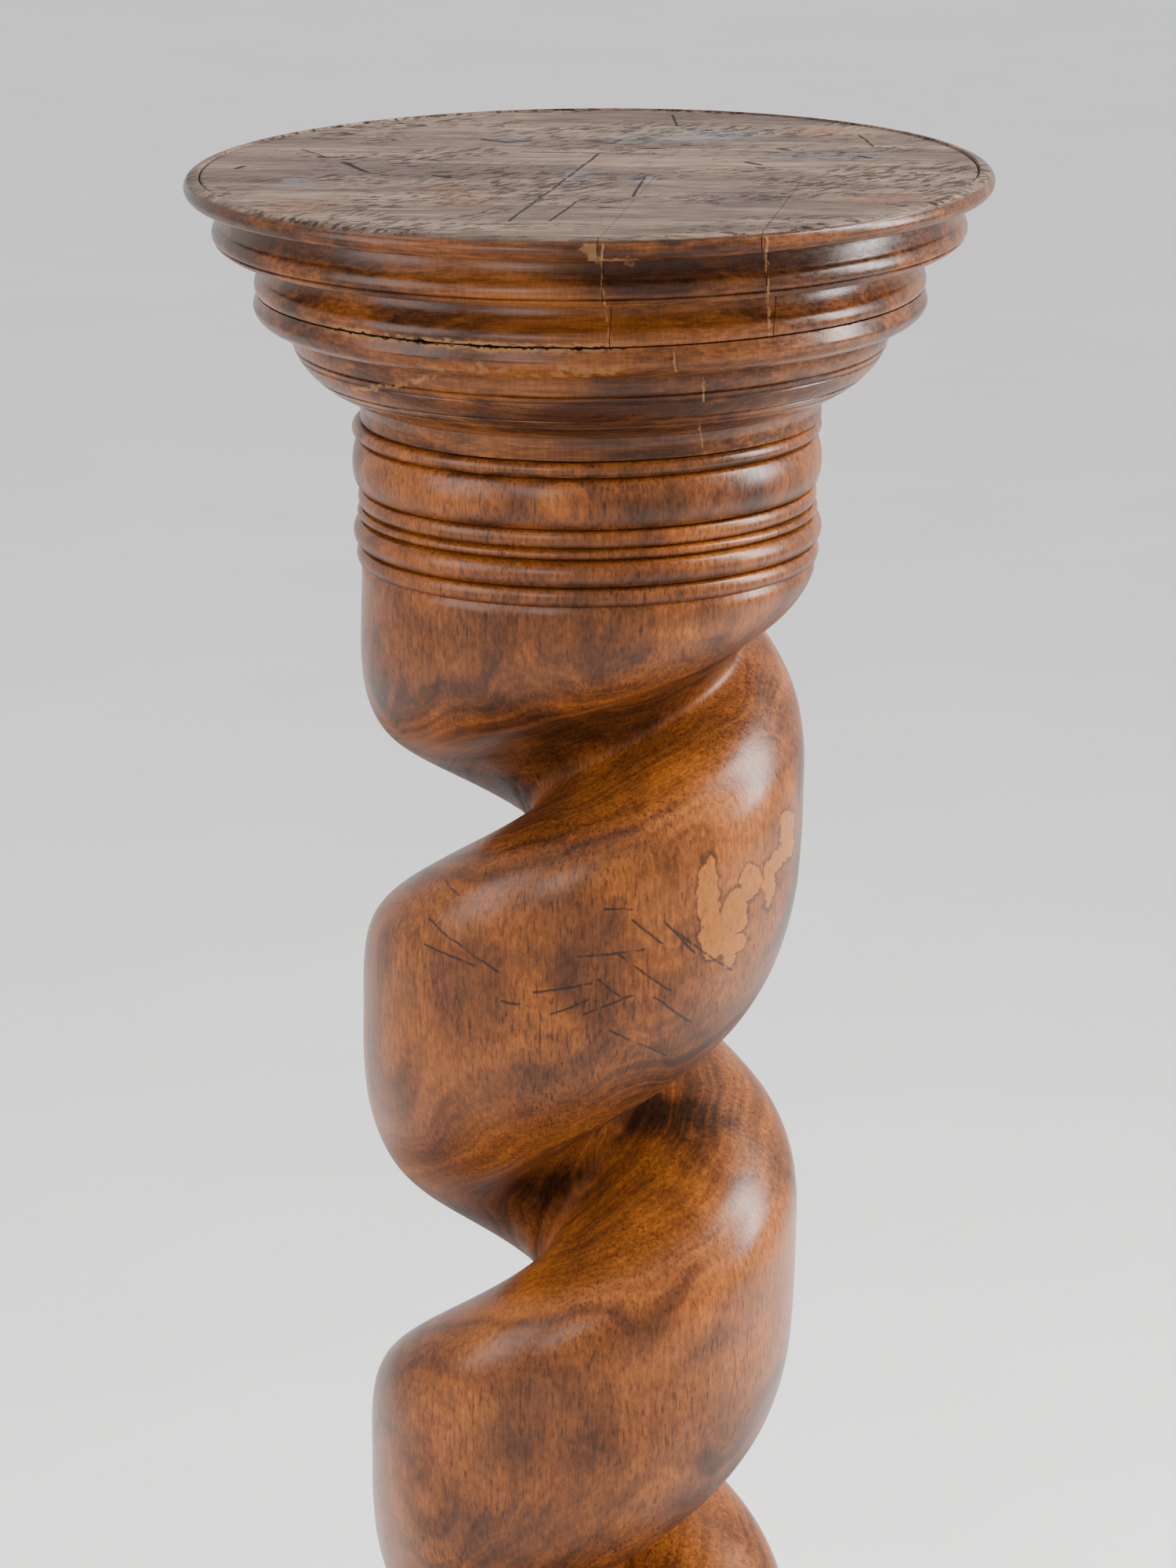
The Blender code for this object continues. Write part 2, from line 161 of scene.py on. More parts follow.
class ShaftSizes(bpy.types.PropertyGroup):
    """Sizes of the log: its turned ends and the twist between them."""

    log_shift: length("Log shift", -0.0020, "How far the log stands to the side of the boards' centre")
    neck_height: length("Neck height", 0.0687, "Height of the turned neck")
    collar_height: length("Collar height", 0.0600, "Height of the turned collar")
    neck_root: length("Neck root", 0.1075, "Radius of the neck where the twist begins")
    collar_root: length("Collar root", 0.1020, "Radius of the collar between its beads")
    collar_bead: length("Collar bead", 0.0040, "How far the collar's beads stand out")
    bead_gap: length("Bead gap", 0.0009, "Width of the fine slot between two beads")
    bead_slot: length("Bead slot", 0.0010, "Depth of the fine slot between two beads")
    top_radius: length("Twist radius at the top", 0.1071, "Crest radius of the twist under the neck")
    foot_radius: length("Twist radius at the foot", 0.1018, "Crest radius of the twist above the collar")
    pitch: length("Pitch", 0.2276, "Height of one turn of the groove")
    start: angle("Groove start", 16.93, "Direction of the groove's middle under the neck")
    sag: length("Groove sag", -0.0054, "How much lower the groove runs at the left than at the right")
    floor_radius: length("Groove floor", 0.0117, "Distance of the groove's floor from the axis")
    floor_softness: share("Floor softness", 0.024, "How softly the groove's floor runs into its flanks")
    upper_floor: share("Floor share above", 0.161, "Share of the upper half that is floor")
    lower_floor: share("Floor share below", 0.244, "Share of the lower half that is floor")
    upper_flatness: share("Crest flatness above", 2.69, "How flat the strand is above the groove")
    lower_flatness: share("Crest flatness below", 4.83, "How flat the strand is below the groove")
    upper_fullness: share("Shoulder fullness above", 3.37, "How square the shoulder above the groove is")
    lower_fullness: share("Shoulder fullness below", 2.19, "How square the shoulder below the groove is")
    start_drop: length("Groove start", 0.0049, "Plain height before the groove begins")
    run_in: length("Groove run-in", 0.1504, "Height over which the groove deepens under the neck")
    run_in_curve: share("Run-in curve", 0.536, "Lower makes the groove deepen sooner under the neck")
    run_in_turn: angle("Run-in turn", 28.4, "Extra turn of the groove's start")
    turn_height: length("Run-in turn height", 0.1459, "Height over which the extra turn fades")
    end_rise: length("Groove end", 0.0049, "Plain height left between the groove's end and the collar")
    run_out: length("Groove run-out", 0.0326, "Height over which the groove ends above the collar")
    top_shift: length("Twist shift at the top", -0.0037, "Sideways shift of the twist under the neck")
    foot_shift: length("Twist shift at the foot", -0.0082, "Sideways shift of the twist above the collar")
    crowding: share("Crowding", 0.35, "How much closer the mesh lies in the groove than on the crest")
    unevenness: length("Unevenness", 0.0012, "Broad unevenness of the hand-carved strand")
    facets: length("Facets", 0.0003, "Small unevenness left by the carver's tools")


class BaseSizes(bpy.types.PropertyGroup):
    """Sizes of the base moulding and the plinth."""

    radius: length("Plinth radius", PLINTH_HIGH.x, "Radius of the plinth")
    step_in: length("Step inset", 0.0110, "How far the plinth's upper step stands in")
    step_height: length("Step height", 0.0080, "Height of the plinth's upper step")
    edge: length("Plinth edge", 0.0070, "Rounding of the plinth's upper edge")
    chamfer: length("Plinth chamfer", 0.0030, "Chamfer round the underside")
    bead_in: length("Bead inset", 0.0160, "How far the base bead stands in from the plinth")
    bead_depth: length("Bead depth", 0.0120, "How far the base bead stands out of its board")
    bead_height: length("Bead height", 0.0240, "Height of the base bead")
    hollow_height: length("Hollow height", 0.0080, "Height of the plain band under the base bead")
    ledge: length("Ledge", 0.0040, "Width of the step between the neck and the bowl")
    neck_radius: length("Neck radius", 0.1120, "Radius of the base's short neck")
    neck_height: length("Neck height", 0.0100, "Height of the base's short neck")


class WoodColours(bpy.types.PropertyGroup):
    """Colours of the wood, its polish, its wear and its repairs, and of the painted light and shade on the
    log and in the creases.
    """

    # Amber is also the colour of the painted light in the first groove's valley.
    amber: colour("Amber", (0.230, 0.066, 0.010), "Light orange wood of the shaft")
    brown: colour("Brown", (0.090, 0.026, 0.006), "Middle brown wood of the shaft")
    # The stain colour also carries the painted shade on the log's undersides and in its groove.
    stain_and_shade: colour("Stain", (0.022, 0.008, 0.003), "Dark clouds of old stain")
    mahogany: colour("Mahogany", (0.034, 0.011, 0.004), "Dark red brown of the turned boards")
    worn: colour("Worn", (0.150, 0.046, 0.009), "Orange wood where the polish has worn away")
    board: colour("Board", (0.065, 0.039, 0.027), "Dull grey brown of the flat top")
    board_pale: colour("Pale board", (0.170, 0.110, 0.076), "Paler streaks of the flat top")
    # Wax is also the colour of the painted shade in the creases, besides the black of pores, cuts and gaps.
    wax_and_shade: colour("Wax", (0.007, 0.003, 0.002), "Black wax in the grooves")
    filler: colour("Filler", (0.235, 0.120, 0.050), "Pale filler of the repairs")
    grey_filler: colour("Grey filler", (0.100, 0.105, 0.115), "Grey filler spots on the flat top")
    patch: colour("Patch", (0.250, 0.080, 0.010), "Ochre filler on the shaft")


class StudioSettings(bpy.types.PropertyGroup):
    """Light, floor and camera."""

    sky: share("Surround", 1.0, "Strength of the even white surround")
    right: share("Right softbox", 170.0, "Power of the tall softbox at the right, in watts")
    left: share("Left softbox", 36.0, "Power of the wide softbox at the left, in watts")
    front: share("Front softbox", 16.0, "Power of the small softbox near the camera, in watts")
    floor_radius: length("Floor radius", 40.0, "Radius of the floor")
    lens: share("Lens", 147.37, "Focal length of the camera, in millimetres")
    eye_height: length("Eye height", 0.4904, "Height of the camera above the flat top")
    distance: length("Distance", 2.9765, "Distance of the camera in front of the axis")
    sideways: length("Sideways", -0.0029, "Place of the camera to the side of the axis")
    tilt: angle("Tilt", 14.817, "How far the camera looks down")
    roll: angle("Roll", 0.499, "How far the camera is rolled")


def flat_top():
    """Height of the flat top."""
    return BOARD_HIGH.z - bpy.context.scene.pedestal_capital.rim_rise


def arc(centre, radii, start, end, count):
    """Points on an ellipse from start to end degrees: 0 is outwards and 90 is up."""
    points = []
    for step in range(count + 1):
        turn = math.radians(start + (end - start) * step / count)
        points.append((centre[0] + radii[0] * math.cos(turn), centre[1] + radii[1] * math.sin(turn)))
    return points


def hollow(start, end, depth, count):
    """Points from start to end that dip inwards between them, without the two ends."""
    points = []
    for step in range(1, count):
        along = step / count
        inwards = depth * math.sin(math.pi * along)
        radius = start[0] + (end[0] - start[0]) * along - inwards
        points.append((radius, start[1] + (end[1] - start[1]) * along))
    return points


def fine(outline, spacing):
    """The same outline with more points, no further apart than the spacing."""
    points = [outline[0]]
    for (radius, height), (next_radius, next_height) in zip(outline, outline[1:]):
        steps = max(1, math.ceil(math.hypot(next_radius - radius, next_height - height) / spacing))
        for step in range(1, steps + 1):
            along = step / steps
            points.append((radius + (next_radius - radius) * along, height + (next_height - height) * along))
    return points


def thinned(outline, inside):
    """The outline with fewer points on its flat top and underside, further in than a radius."""
    ends = (outline[0][1], outline[-1][1])
    return [point for number, point in enumerate(outline)
            if point[0] > inside or point[1] not in ends or number % 6 == 0 or number == len(outline) - 1]


def incised(outline, lines):
    """The outline with V-shaped lines cut into its outer side."""
    top = flat_top()
    points = []
    for radius, height in outline:
        for below, depth, width in lines:
            near = 1.0 - abs(height - (top - below)) / (width / 2)
            radius -= depth * max(0.0, near)
        points.append((radius, height))
    return points


def turned_shape(outline, sides):
    """A closed turned shape from (radius, height) points that run down its outer side.

    One sector is spun, and then repeated round the axis.
    """
    sector = math.tau / SECTORS
    shape = bmesh.new()
    points = [shape.verts.new((radius, 0.0, height)) for radius, height in outline]
    edges = [shape.edges.new(pair) for pair in zip(points, points[1:])]
    bmesh.ops.spin(shape, geom=points + edges, cent=(0.0, 0.0, 0.0), axis=(0.0, 0.0, 1.0),
                   angle=sector, steps=sides // SECTORS)
    bmesh.ops.spin(shape, geom=shape.verts[:] + shape.edges[:] + shape.faces[:], cent=(0.0, 0.0, 0.0),
                   axis=(0.0, 0.0, 1.0), angle=math.tau - sector, steps=SECTORS - 1, use_duplicate=True)
    bmesh.ops.remove_doubles(shape, verts=shape.verts[:], dist=MERGE_DISTANCE)
    bmesh.ops.recalc_face_normals(shape, faces=shape.faces[:])
    return shape


def piece(shape, name, sharp=40.0):
    """Turn a bmesh into a smooth-shaded object in the scene; finish later lets it ride on the pedestal's
    body.
    """
    mesh = bpy.data.meshes.new(name)
    shape.to_mesh(mesh)
    shape.free()
    mesh.shade_smooth()
    mesh.set_sharp_from_angle(angle=math.radians(sharp))
    made = bpy.data.objects.new(name, mesh)
    bpy.context.scene.collection.objects.link(made)
    return made


def note_relief(made, passes, reach):
    """Store on each point how far it stands above (1) or below (0) the surface round it."""
    mesh = made.data
    count = len(mesh.vertices)
    places = np.empty(count * 3, np.float32)
    mesh.vertices.foreach_get("co", places)
    places = places.reshape(-1, 3)
    normals = np.empty(count * 3, np.float32)
    mesh.vertices.foreach_get("normal", normals)
    normals = normals.reshape(-1, 3)
    edges = np.empty(len(mesh.edges) * 2, np.int64)
    mesh.edges.foreach_get("vertices", edges)
    first, second = edges.reshape(-1, 2).T
    neighbours = np.bincount(first, minlength=count) + np.bincount(second, minlength=count)
    smooth = places.copy()
    for _ in range(passes):
        total = np.zeros_like(smooth)
        for axis in range(3):
            total[:, axis] = np.bincount(first, smooth[second, axis], count)
            total[:, axis] += np.bincount(second, smooth[first, axis], count)
        smooth = 0.5 * smooth + 0.5 * total / neighbours[:, None]
    above = ((places - smooth) * normals).sum(axis=1)
    values = np.clip(0.5 + 0.5 * above / reach, 0.0, 1.0).astype(np.float32)
    mesh.attributes.new("relief", "FLOAT", "POINT").data.foreach_set("value", values)


def finish(made, material, slot, *nodes):
    """Give a piece its wood, and let it stand for its solids."""
    made.data.materials.append(material)
    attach(made, "root")
    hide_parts(*nodes)


class Surface:
    """A wood surface under construction, with short names for the nodes that its finish needs."""

    def __init__(self, name):
        self.material = bpy.data.materials.new(name)
        self.material.use_nodes = True
        self.tree = self.material.node_tree
        self.shader = self.tree.nodes["Principled BSDF"]
        self.place = self.node("ShaderNodeTexCoord").outputs["Object"]
        separate = self.node("ShaderNodeSeparateXYZ", {}, self.place)
        self.x, self.y, self.z = separate.outputs

    def node(self, kind, settings=None, *inputs):
        """Add a node; the inputs, in order, are values or other nodes' outputs, or None to skip one."""
        made = self.tree.nodes.new(kind)
        for key, value in (settings or {}).items():
            setattr(made, key, value)
        for socket, value in zip(made.inputs, inputs):
            self.feed(socket, value)
        return made

    def feed(self, socket, value):
        """Link an output to a socket, or set the socket's own value."""
        if isinstance(value, bpy.types.NodeSocket):
            self.tree.links.new(value, socket)
        elif value is not None:
            socket.default_value = value

    def math(self, operation, *values):
        return self.node("ShaderNodeMath", {"operation": operation}, *values).outputs[0]

    def plus(self, base, amount, factor):
        """A value with a share of another added."""
        return self.math("MULTIPLY_ADD", amount, factor, base)

    def plain(self, colour):
        """A plain colour as an output, so that it can be shaded."""
        return self.mix(0.0, colour, colour)

    def vector(self, operation, *values):
        return self.node("ShaderNodeVectorMath", {"operation": operation}, *values)

    def stretched(self, scale, turn=(0.0, 0.0, 0.0)):
        """Coordinates for a pattern that is drawn out along one direction, which can be turned."""
        turns = [math.radians(value) for value in turn]
        lengths = [1.0 / value for value in scale]
        kind = {"vector_type": "TEXTURE"}
        mapping = self.node("ShaderNodeMapping", kind, self.place, (0.0, 0.0, 0.0), turns, lengths)
        return mapping.outputs[0]

    def pattern(self, place, scale, detail, roughness, distortion):
        made = self.node("ShaderNodeTexNoise", {})
        self.feed(made.inputs["Vector"], place)
        self.feed(made.inputs["Scale"], scale)
        self.feed(made.inputs["Detail"], detail)
        self.feed(made.inputs["Roughness"], roughness)
        self.feed(made.inputs["Distortion"], distortion)
        return made

    def noise(self, place, scale, detail=3.0, roughness=0.5, distortion=0.0):
        return self.pattern(place, scale, detail, roughness, distortion).outputs["Fac"]

    def warped(self, place, amount, scale):
        """Places moved about by a smooth noise, so that what is drawn on them has ragged edges."""
        colours = self.pattern(self.place, scale, 3.0, 0.6, 0.0).outputs["Color"]
        centred = self.vector("SUBTRACT", colours, (0.5, 0.5, 0.5)).outputs[0]
        moved = self.vector("MULTIPLY", centred, (amount, amount, 0.0)).outputs[0]
        return self.vector("ADD", place, moved).outputs[0]

    def flat(self, first, second):
        """Places in a plane from two coordinates."""
        return self.node("ShaderNodeCombineXYZ", {}, first, second, 0.0).outputs[0]

    def between(self, value, low, high, start=0.0, end=1.0):
        """A smooth change from start to end while the value goes from low to high."""
        settings = {"interpolation_type": "SMOOTHSTEP"}
        made = self.node("ShaderNodeMapRange", settings, value, low, high, start, end)
        return made.outputs[0]

    def mix(self, amount, below, above, blend="MIX"):
        """Mix two colours; a colour is an output or three numbers."""
        made = self.node("ShaderNodeMix", {"data_type": "RGBA", "blend_type": blend})
        self.feed(made.inputs["Factor"], amount)
        for socket, value in zip((made.inputs[6], made.inputs[7]), (below, above)):
            self.feed(socket, value if isinstance(value, bpy.types.NodeSocket) else (*value, 1.0))
        return made.outputs[2]

    def shade(self, colour, amount):
        """A colour made darker or lighter by a factor."""
        grey = self.node("ShaderNodeCombineColor", {}, amount, amount, amount).outputs[0]
        return self.mix(1.0, colour, grey, "MULTIPLY")

    def underside(self, low, high):
        """1 where the surface faces down, and 0 where it faces sideways or up."""
        normal = self.node("ShaderNodeNewGeometry").outputs["Normal"]
        facing = self.node("ShaderNodeSeparateXYZ", {}, normal).outputs[2]
        return self.between(facing, high, low)

    def attribute(self, name):
        return self.node("ShaderNodeAttribute", {"attribute_name": name}).outputs["Fac"]

    def times(self, first, *others):
        """The product of several masks."""
        for value in others:
            first = self.math("MULTIPLY", first, value)
        return first

    def most(self, values):
        """The highest of several masks."""
        highest = values[0]
        for value in values[1:]:
            highest = self.math("MAXIMUM", highest, value)
        return highest

    def from_spot(self, place, centre, radii):
        """How far a place is from a spot's centre: 1 is on the ellipse with these radii."""
        offset = self.vector("SUBTRACT", place, (*centre, 0.0)).outputs[0]
        return self.vector("LENGTH", self.vector("DIVIDE", offset, (*radii, 1.0)).outputs[0]).outputs["Value"]

    def spot(self, place, centre, radii, inner=0.3, outer=1.3):
        """1 in the middle of an elliptical spot, fading to 0 outside it."""
        return self.between(self.from_spot(place, centre, radii), outer, inner)

    def near_line(self, place, start, end, width):
        """1 on a straight line in the plane of the place, and 0 beyond its width."""
        start = Vector((*start, 0.0))
        along = Vector((*end, 0.0)) - start
        offset = self.vector("SUBTRACT", place, start).outputs[0]
        travelled = self.vector("DOT_PRODUCT", offset, along / along.length_squared).outputs["Value"]
        on_line = self.math("MINIMUM", self.math("MAXIMUM", travelled, 0.0), 1.0)
        scaled = self.node("ShaderNodeVectorMath", {"operation": "SCALE"}, along)
        self.feed(scaled.inputs["Scale"], on_line)
        gap = self.vector("DISTANCE", offset, scaled.outputs[0]).outputs["Value"]
        return self.between(gap, width * 0.5, width * 0.2)

    def near_lines(self, place, lines, width):
        """1 on any of several lines; each is (start, end)."""
        return self.most([self.near_line(place, start, end, width) for start, end in lines])

    def bump(self, parts):
        """Bump from (height, strength, distance) parts, one after another."""
        normal = None
        for height, strength, distance in parts:
            made = self.node("ShaderNodeBump", {})
            self.feed(made.inputs["Strength"], strength)
            self.feed(made.inputs["Distance"], distance)
            self.feed(made.inputs["Height"], height)
            if normal is not None:
                self.feed(made.inputs["Normal"], normal)
            normal = made.outputs[0]
        self.feed(self.shader.inputs["Normal"], normal)

    def done(self, base_colour, roughness, specular=0.5):
        self.feed(self.shader.inputs["Base Color"], base_colour)
        self.feed(self.shader.inputs["Roughness"], roughness)
        self.feed(self.shader.inputs["Specular IOR Level"], specular)
        return self.material


# Tone of the shaft's front: (x, height), (half width, half height), darker below 0 and more amber above. Most
# spots are stain and paler wood. The lightening at (-0.004, 0.827) in the first groove's valley is painted
# light, and the darkening at (0.016, 0.641) in the second groove is painted shade.
TONE_SPOTS = (
    ((0.020, 0.798), (0.060, 0.014), -0.50), ((-0.053, 0.782), (0.016, 0.006), -0.32),
    ((0.006, 0.766), (0.008, 0.012), -0.30), ((-0.013, 0.738), (0.008, 0.016), -0.30),
    ((0.071, 0.854), (0.024, 0.016), -0.35), ((-0.036, 0.823), (0.030, 0.008), -0.45),
    ((-0.020, 0.606), (0.048, 0.016), -0.55), ((0.042, 0.640), (0.024, 0.018), -0.40),
    ((-0.038, 0.555), (0.012, 0.008), -0.32), ((0.006, 0.503), (0.011, 0.020), -0.34),
    ((0.050, 0.546), (0.012, 0.010), -0.30), ((0.004, 0.474), (0.016, 0.008), -0.30),
    ((0.068, 0.568), (0.009, 0.012), -0.25), ((-0.077, 0.866), (0.016, 0.012), -0.28),
    ((0.006, 0.700), (0.016, 0.010), -0.30), ((-0.046, 0.908), (0.011, 0.003), -0.22),
    ((-0.091, 0.700), (0.012, 0.024), 0.28), ((-0.041, 0.875), (0.016, 0.007), 0.40),
    ((-0.058, 0.755), (0.022, 0.014), 0.22), ((-0.030, 0.485), (0.032, 0.020), 0.42),
    ((-0.062, 0.492), (0.010, 0.024), 0.22), ((0.043, 0.569), (0.012, 0.010), 0.25),
    ((0.022, 0.602), (0.014, 0.007), 0.22), ((-0.082, 0.892), (0.016, 0.005), 0.22),
    ((0.043, 0.899), (0.028, 0.004), 0.40), ((-0.052, 0.670), (0.018, 0.012), 0.20),
    ((0.057, 0.734), (0.010, 0.010), 0.28), ((-0.004, 0.827), (0.016, 0.010), 0.70),
    ((0.016, 0.641), (0.026, 0.011), -0.80), ((-0.028, 0.520), (0.024, 0.022), 0.60),
)

# Scratches on the shaft's front, each from (x, height) to (x, height)
SCRATCHES = (
    ((-0.078, 0.757), (-0.046, 0.738)), ((-0.080, 0.745), (-0.057, 0.740)),
    ((-0.070, 0.774), (-0.064, 0.771)), ((0.004, 0.770), (0.017, 0.769)), ((0.017, 0.764), (0.031, 0.751)),
    ((0.032, 0.762), (0.046, 0.744)), ((0.035, 0.758), (0.064, 0.731)), ((-0.008, 0.747), (0.022, 0.749)),
    ((0.010, 0.748), (0.035, 0.727)), ((0.027, 0.725), (0.045, 0.709)), ((-0.029, 0.729), (-0.002, 0.734)),
    ((-0.021, 0.719), (-0.003, 0.726)), ((-0.006, 0.719), (0.017, 0.727)),
    ((-0.044, 0.724), (-0.031, 0.722)), ((0.001, 0.736), (0.012, 0.726)), ((0.007, 0.710), (0.033, 0.694)),
)

# Lobes of the pale filler patch on the shaft: (x, height), (half width, half height)
PATCH_LOBES = (
    ((0.053, 0.771), (0.0052, 0.0190)), ((0.057, 0.750), (0.0085, 0.0100)),
    ((0.066, 0.760), (0.0060, 0.0110)), ((0.073, 0.772), (0.0052, 0.0085)),
    ((0.082, 0.768), (0.0032, 0.0110)), ((0.091, 0.788), (0.0040, 0.0130)),
    ((0.066, 0.744), (0.0060, 0.0040)), ((0.086, 0.777), (0.0036, 0.0050)),
    ((0.062, 0.738), (0.0030, 0.0060)),
)


def shaft_wood():
    """Amber and brown log: growth rings, soft clouds of stain, pores, scratches and a filler patch, with
    painted shade on its undersides, in its groove and creases, and painted light in one valley.
    """
    colours = bpy.context.scene.pedestal_colours
    wood = Surface("shaft_wood")
    on_front = wood.between(wood.y, 0.002, -0.006)
    front = wood.flat(wood.x, wood.z)
    ragged = wood.warped(front, 0.020, 42.0)

    level = wood.vector("MULTIPLY", wood.place, (1.0, 1.0, 0.0)).outputs[0]
    from_pith = wood.vector("LENGTH", level).outputs["Value"]
    warp = wood.noise(wood.stretched((1.0, 1.0, 0.45)), 9.0, 3.0, 0.5)
    ring_place = wood.plus(from_pith, warp, 0.060)
    rings = wood.noise(wood.flat(ring_place, wood.times(wood.z, 0.04)), 210.0, 5.0, 0.62)

    broad = wood.noise(wood.stretched((1.0, 1.0, 0.8)), 12.0, 4.0, 0.58, 0.8)
    tone = wood.between(broad, 0.28, 0.72, 0.32, 0.88)
    clouds = wood.noise(wood.stretched((1.2, 0.8, 1.0), (20.0, 35.0, 0.0)), 26.0, 5.0, 0.62, 1.2)
    tone = wood.math("SUBTRACT", tone, wood.between(clouds, 0.54, 0.74, 0.0, 0.18))
    tone = wood.math("ADD", tone, wood.between(rings, 0.32, 0.68, -0.20, 0.16))
    # Painted shade: the tone, and so the colour, is made darker on faces that look down, where the strands
    # lie in shadow. Deep in the groove it is made a little darker, partly stain and partly painted shade.
    in_groove = wood.between(from_pith, 0.085, 0.030)
    tone = wood.plus(tone, in_groove, -0.02)
    tone = wood.plus(tone, wood.underside(-0.60, 0.30), -0.26)
    # Among these spots are painted light in the first groove's valley and painted shade in the second groove.
    for centre, radii, strength in TONE_SPOTS:
        mask = wood.times(wood.spot(ragged, centre, radii, 0.0, 1.5), on_front)
        tone = wood.plus(tone, mask, strength * 0.50)
    base = wood.mix(wood.between(tone, -0.05, 0.42), colours.stain_and_shade, colours.brown)
    base = wood.mix(wood.between(tone, 0.25, 0.95), base, colours.amber)

    mottle = wood.noise(wood.stretched((1.0, 1.0, 0.5)), 420.0, 5.0, 0.7)
    base = wood.shade(base, wood.between(mottle, 0.28, 0.72, 0.68, 1.32))
    fibre = wood.noise(wood.stretched((1.0, 1.0, 0.05)), 900.0, 3.0, 0.6)
    base = wood.shade(base, wood.between(fibre, 0.30, 0.70, 0.84, 1.14))

    pores = wood.noise(wood.stretched((1.0, 1.0, 0.16)), 780.0, 2.0, 0.5)
    pore_field = wood.between(wood.noise(wood.place, 22.0, 2.0), 0.36, 0.60, 0.35, 1.0)
    pore_share = wood.times(wood.between(pores, 0.56, 0.66), pore_field)
    base = wood.mix(wood.times(pore_share, 0.60), base, colours.wax_and_shade)

    lobes = wood.warped(front, 0.0090, 130.0)
    edge = wood.from_spot(lobes, *PATCH_LOBES[0])
    for centre, radii in PATCH_LOBES[1:]:
        edge = wood.math("MINIMUM", edge, wood.from_spot(lobes, centre, radii))
    outline = wood.times(wood.between(edge, 1.30, 1.10), on_front)
    inside = wood.times(wood.between(edge, 1.05, 0.98), on_front)
    patch = wood.shade(wood.plain(colours.patch), wood.between(mottle, 0.25, 0.75, 0.74, 1.18))
    worn_through = wood.between(wood.noise(wood.place, 150.0, 4.0, 0.6), 0.56, 0.70, 0.0, 0.55)
    patch = wood.mix(worn_through, patch, colours.brown)
    base = wood.mix(wood.times(outline, 0.62), base, colours.stain_and_shade)
    base = wood.mix(inside, base, patch)

    broken = wood.between(wood.noise(wood.place, 200.0, 3.0), 0.30, 0.50, 0.15, 1.0)
    bent = wood.warped(front, 0.0024, 70.0)
    scratches = wood.near_lines(bent, SCRATCHES, 0.0017)
    hatching = wood.noise(wood.stretched((1.0, 1.0, 0.09)), 640.0, 1.0, 0.5)
    hatched = wood.times(wood.spot(ragged, (0.012, 0.731), (0.040, 0.020), 0.2, 1.2), on_front)
    hatching = wood.times(wood.between(hatching, 0.55, 0.62), hatched)
    scratches = wood.most([wood.times(scratches, broken, on_front), wood.times(hatching, 0.55)])
    base = wood.mix(wood.times(scratches, 0.80), base, colours.wax_and_shade)

    # Black in the hollows from the relief: partly wax, partly painted shade that stands in for the shadow in
    # creases and valleys.
    relief = wood.attribute("relief")
    base = wood.mix(wood.between(relief, 0.44, 0.14, 0.0, 0.90), base, colours.wax_and_shade)

    roughness = wood.between(mottle, 0.30, 0.70, 0.24, 0.36)
    dull = wood.most([in_groove, wood.underside(-0.70, -0.05)])
    roughness = wood.plus(roughness, dull, 0.22)
    wood.bump([(mottle, 0.16, 0.0006), (pores, 0.10, 0.0004), (fibre, 0.06, 0.0003)])
    return wood.done(base, roughness, wood.between(dull, 0.0, 1.0, 0.26, 0.05))


# Marks on the flat top, in plan: scored lines, hand-tool scratches and open pores, from (x, y) to (x, y)
SCORED_LINES = (
    ((-0.037, -0.139), (-0.010, -0.020)), ((-0.010, -0.020), (0.005, 0.049)),
    ((-0.018, -0.138), (-0.006, -0.088)), ((-0.031, 0.055), (0.041, 0.042)),
    ((0.026, -0.021), (0.020, -0.075)), ((-0.137, 0.070), (-0.123, 0.041)),
    ((0.042, 0.164), (0.043, 0.130)), ((0.130, 0.100), (0.136, 0.062)),
)
GOUGES = (
    ((-0.116, 0.029), (-0.104, 0.000)), ((-0.051, 0.094), (-0.040, 0.084)),
    ((-0.040, 0.084), (-0.028, 0.088)), ((0.074, 0.018), (0.080, 0.012)),
    ((-0.088, 0.139), (-0.080, 0.137)), ((0.128, 0.034), (0.133, 0.028)),
    ((-0.128, 0.046), (-0.124, 0.043)), ((0.090, 0.058), (0.095, 0.054)),
    ((-0.166, 0.014), (-0.163, 0.020)), ((0.143, -0.036), (0.149, -0.034)),
    ((-0.072, -0.012), (-0.066, -0.016)),
)

# Grey filler spots on the flat top: (x, y), (half width, half depth)
GREY_SPOTS = (
    ((0.025, -0.028), (0.006, 0.010)), ((-0.006, -0.010), (0.007, 0.016)),
    ((-0.038, 0.097), (0.010, 0.012)), ((-0.137, -0.026), (0.010, 0.012)), ((0.050, 0.098), (0.050, 0.020)),
    ((0.112, 0.034), (0.030, 0.012)),
)
WARM_SPOTS = (
    ((-0.055, -0.080), (0.016, 0.034)), ((-0.130, -0.094), (0.022, 0.020)),
    ((-0.069, -0.047), (0.012, 0.020)), ((0.110, 0.104), (0.022, 0.018)), ((0.135, -0.085), (0.026, 0.016)),
)

# Repairs on the front of the boards, each from (x, height) to (x, height)
BLOCK_JOINTS = (
    ((0.0055, 1.0985), (0.0050, 1.0830)), ((0.0050, 1.0830), (0.0080, 1.0460)),
    ((0.0785, 1.0975), (0.0785, 1.0840)), ((0.0785, 1.0840), (0.0805, 1.0455)),
)
BOWL_CRACKS = (
    ((0.037, 1.0440), (0.038, 1.0330)), ((0.0510, 1.0260), (0.0505, 1.0130)),
    ((0.0490, 1.0040), (0.0510, 0.9860)),
)
FILLED_CRACK = (((-0.072, 1.0265), (-0.090, 1.0185)), ((-0.090, 1.0185), (-0.112, 1.0110)))
RIM_PATCH = (((-0.001, 1.0955), (0.004, 1.0890)), ((0.004, 1.0890), (0.018, 1.0880)))

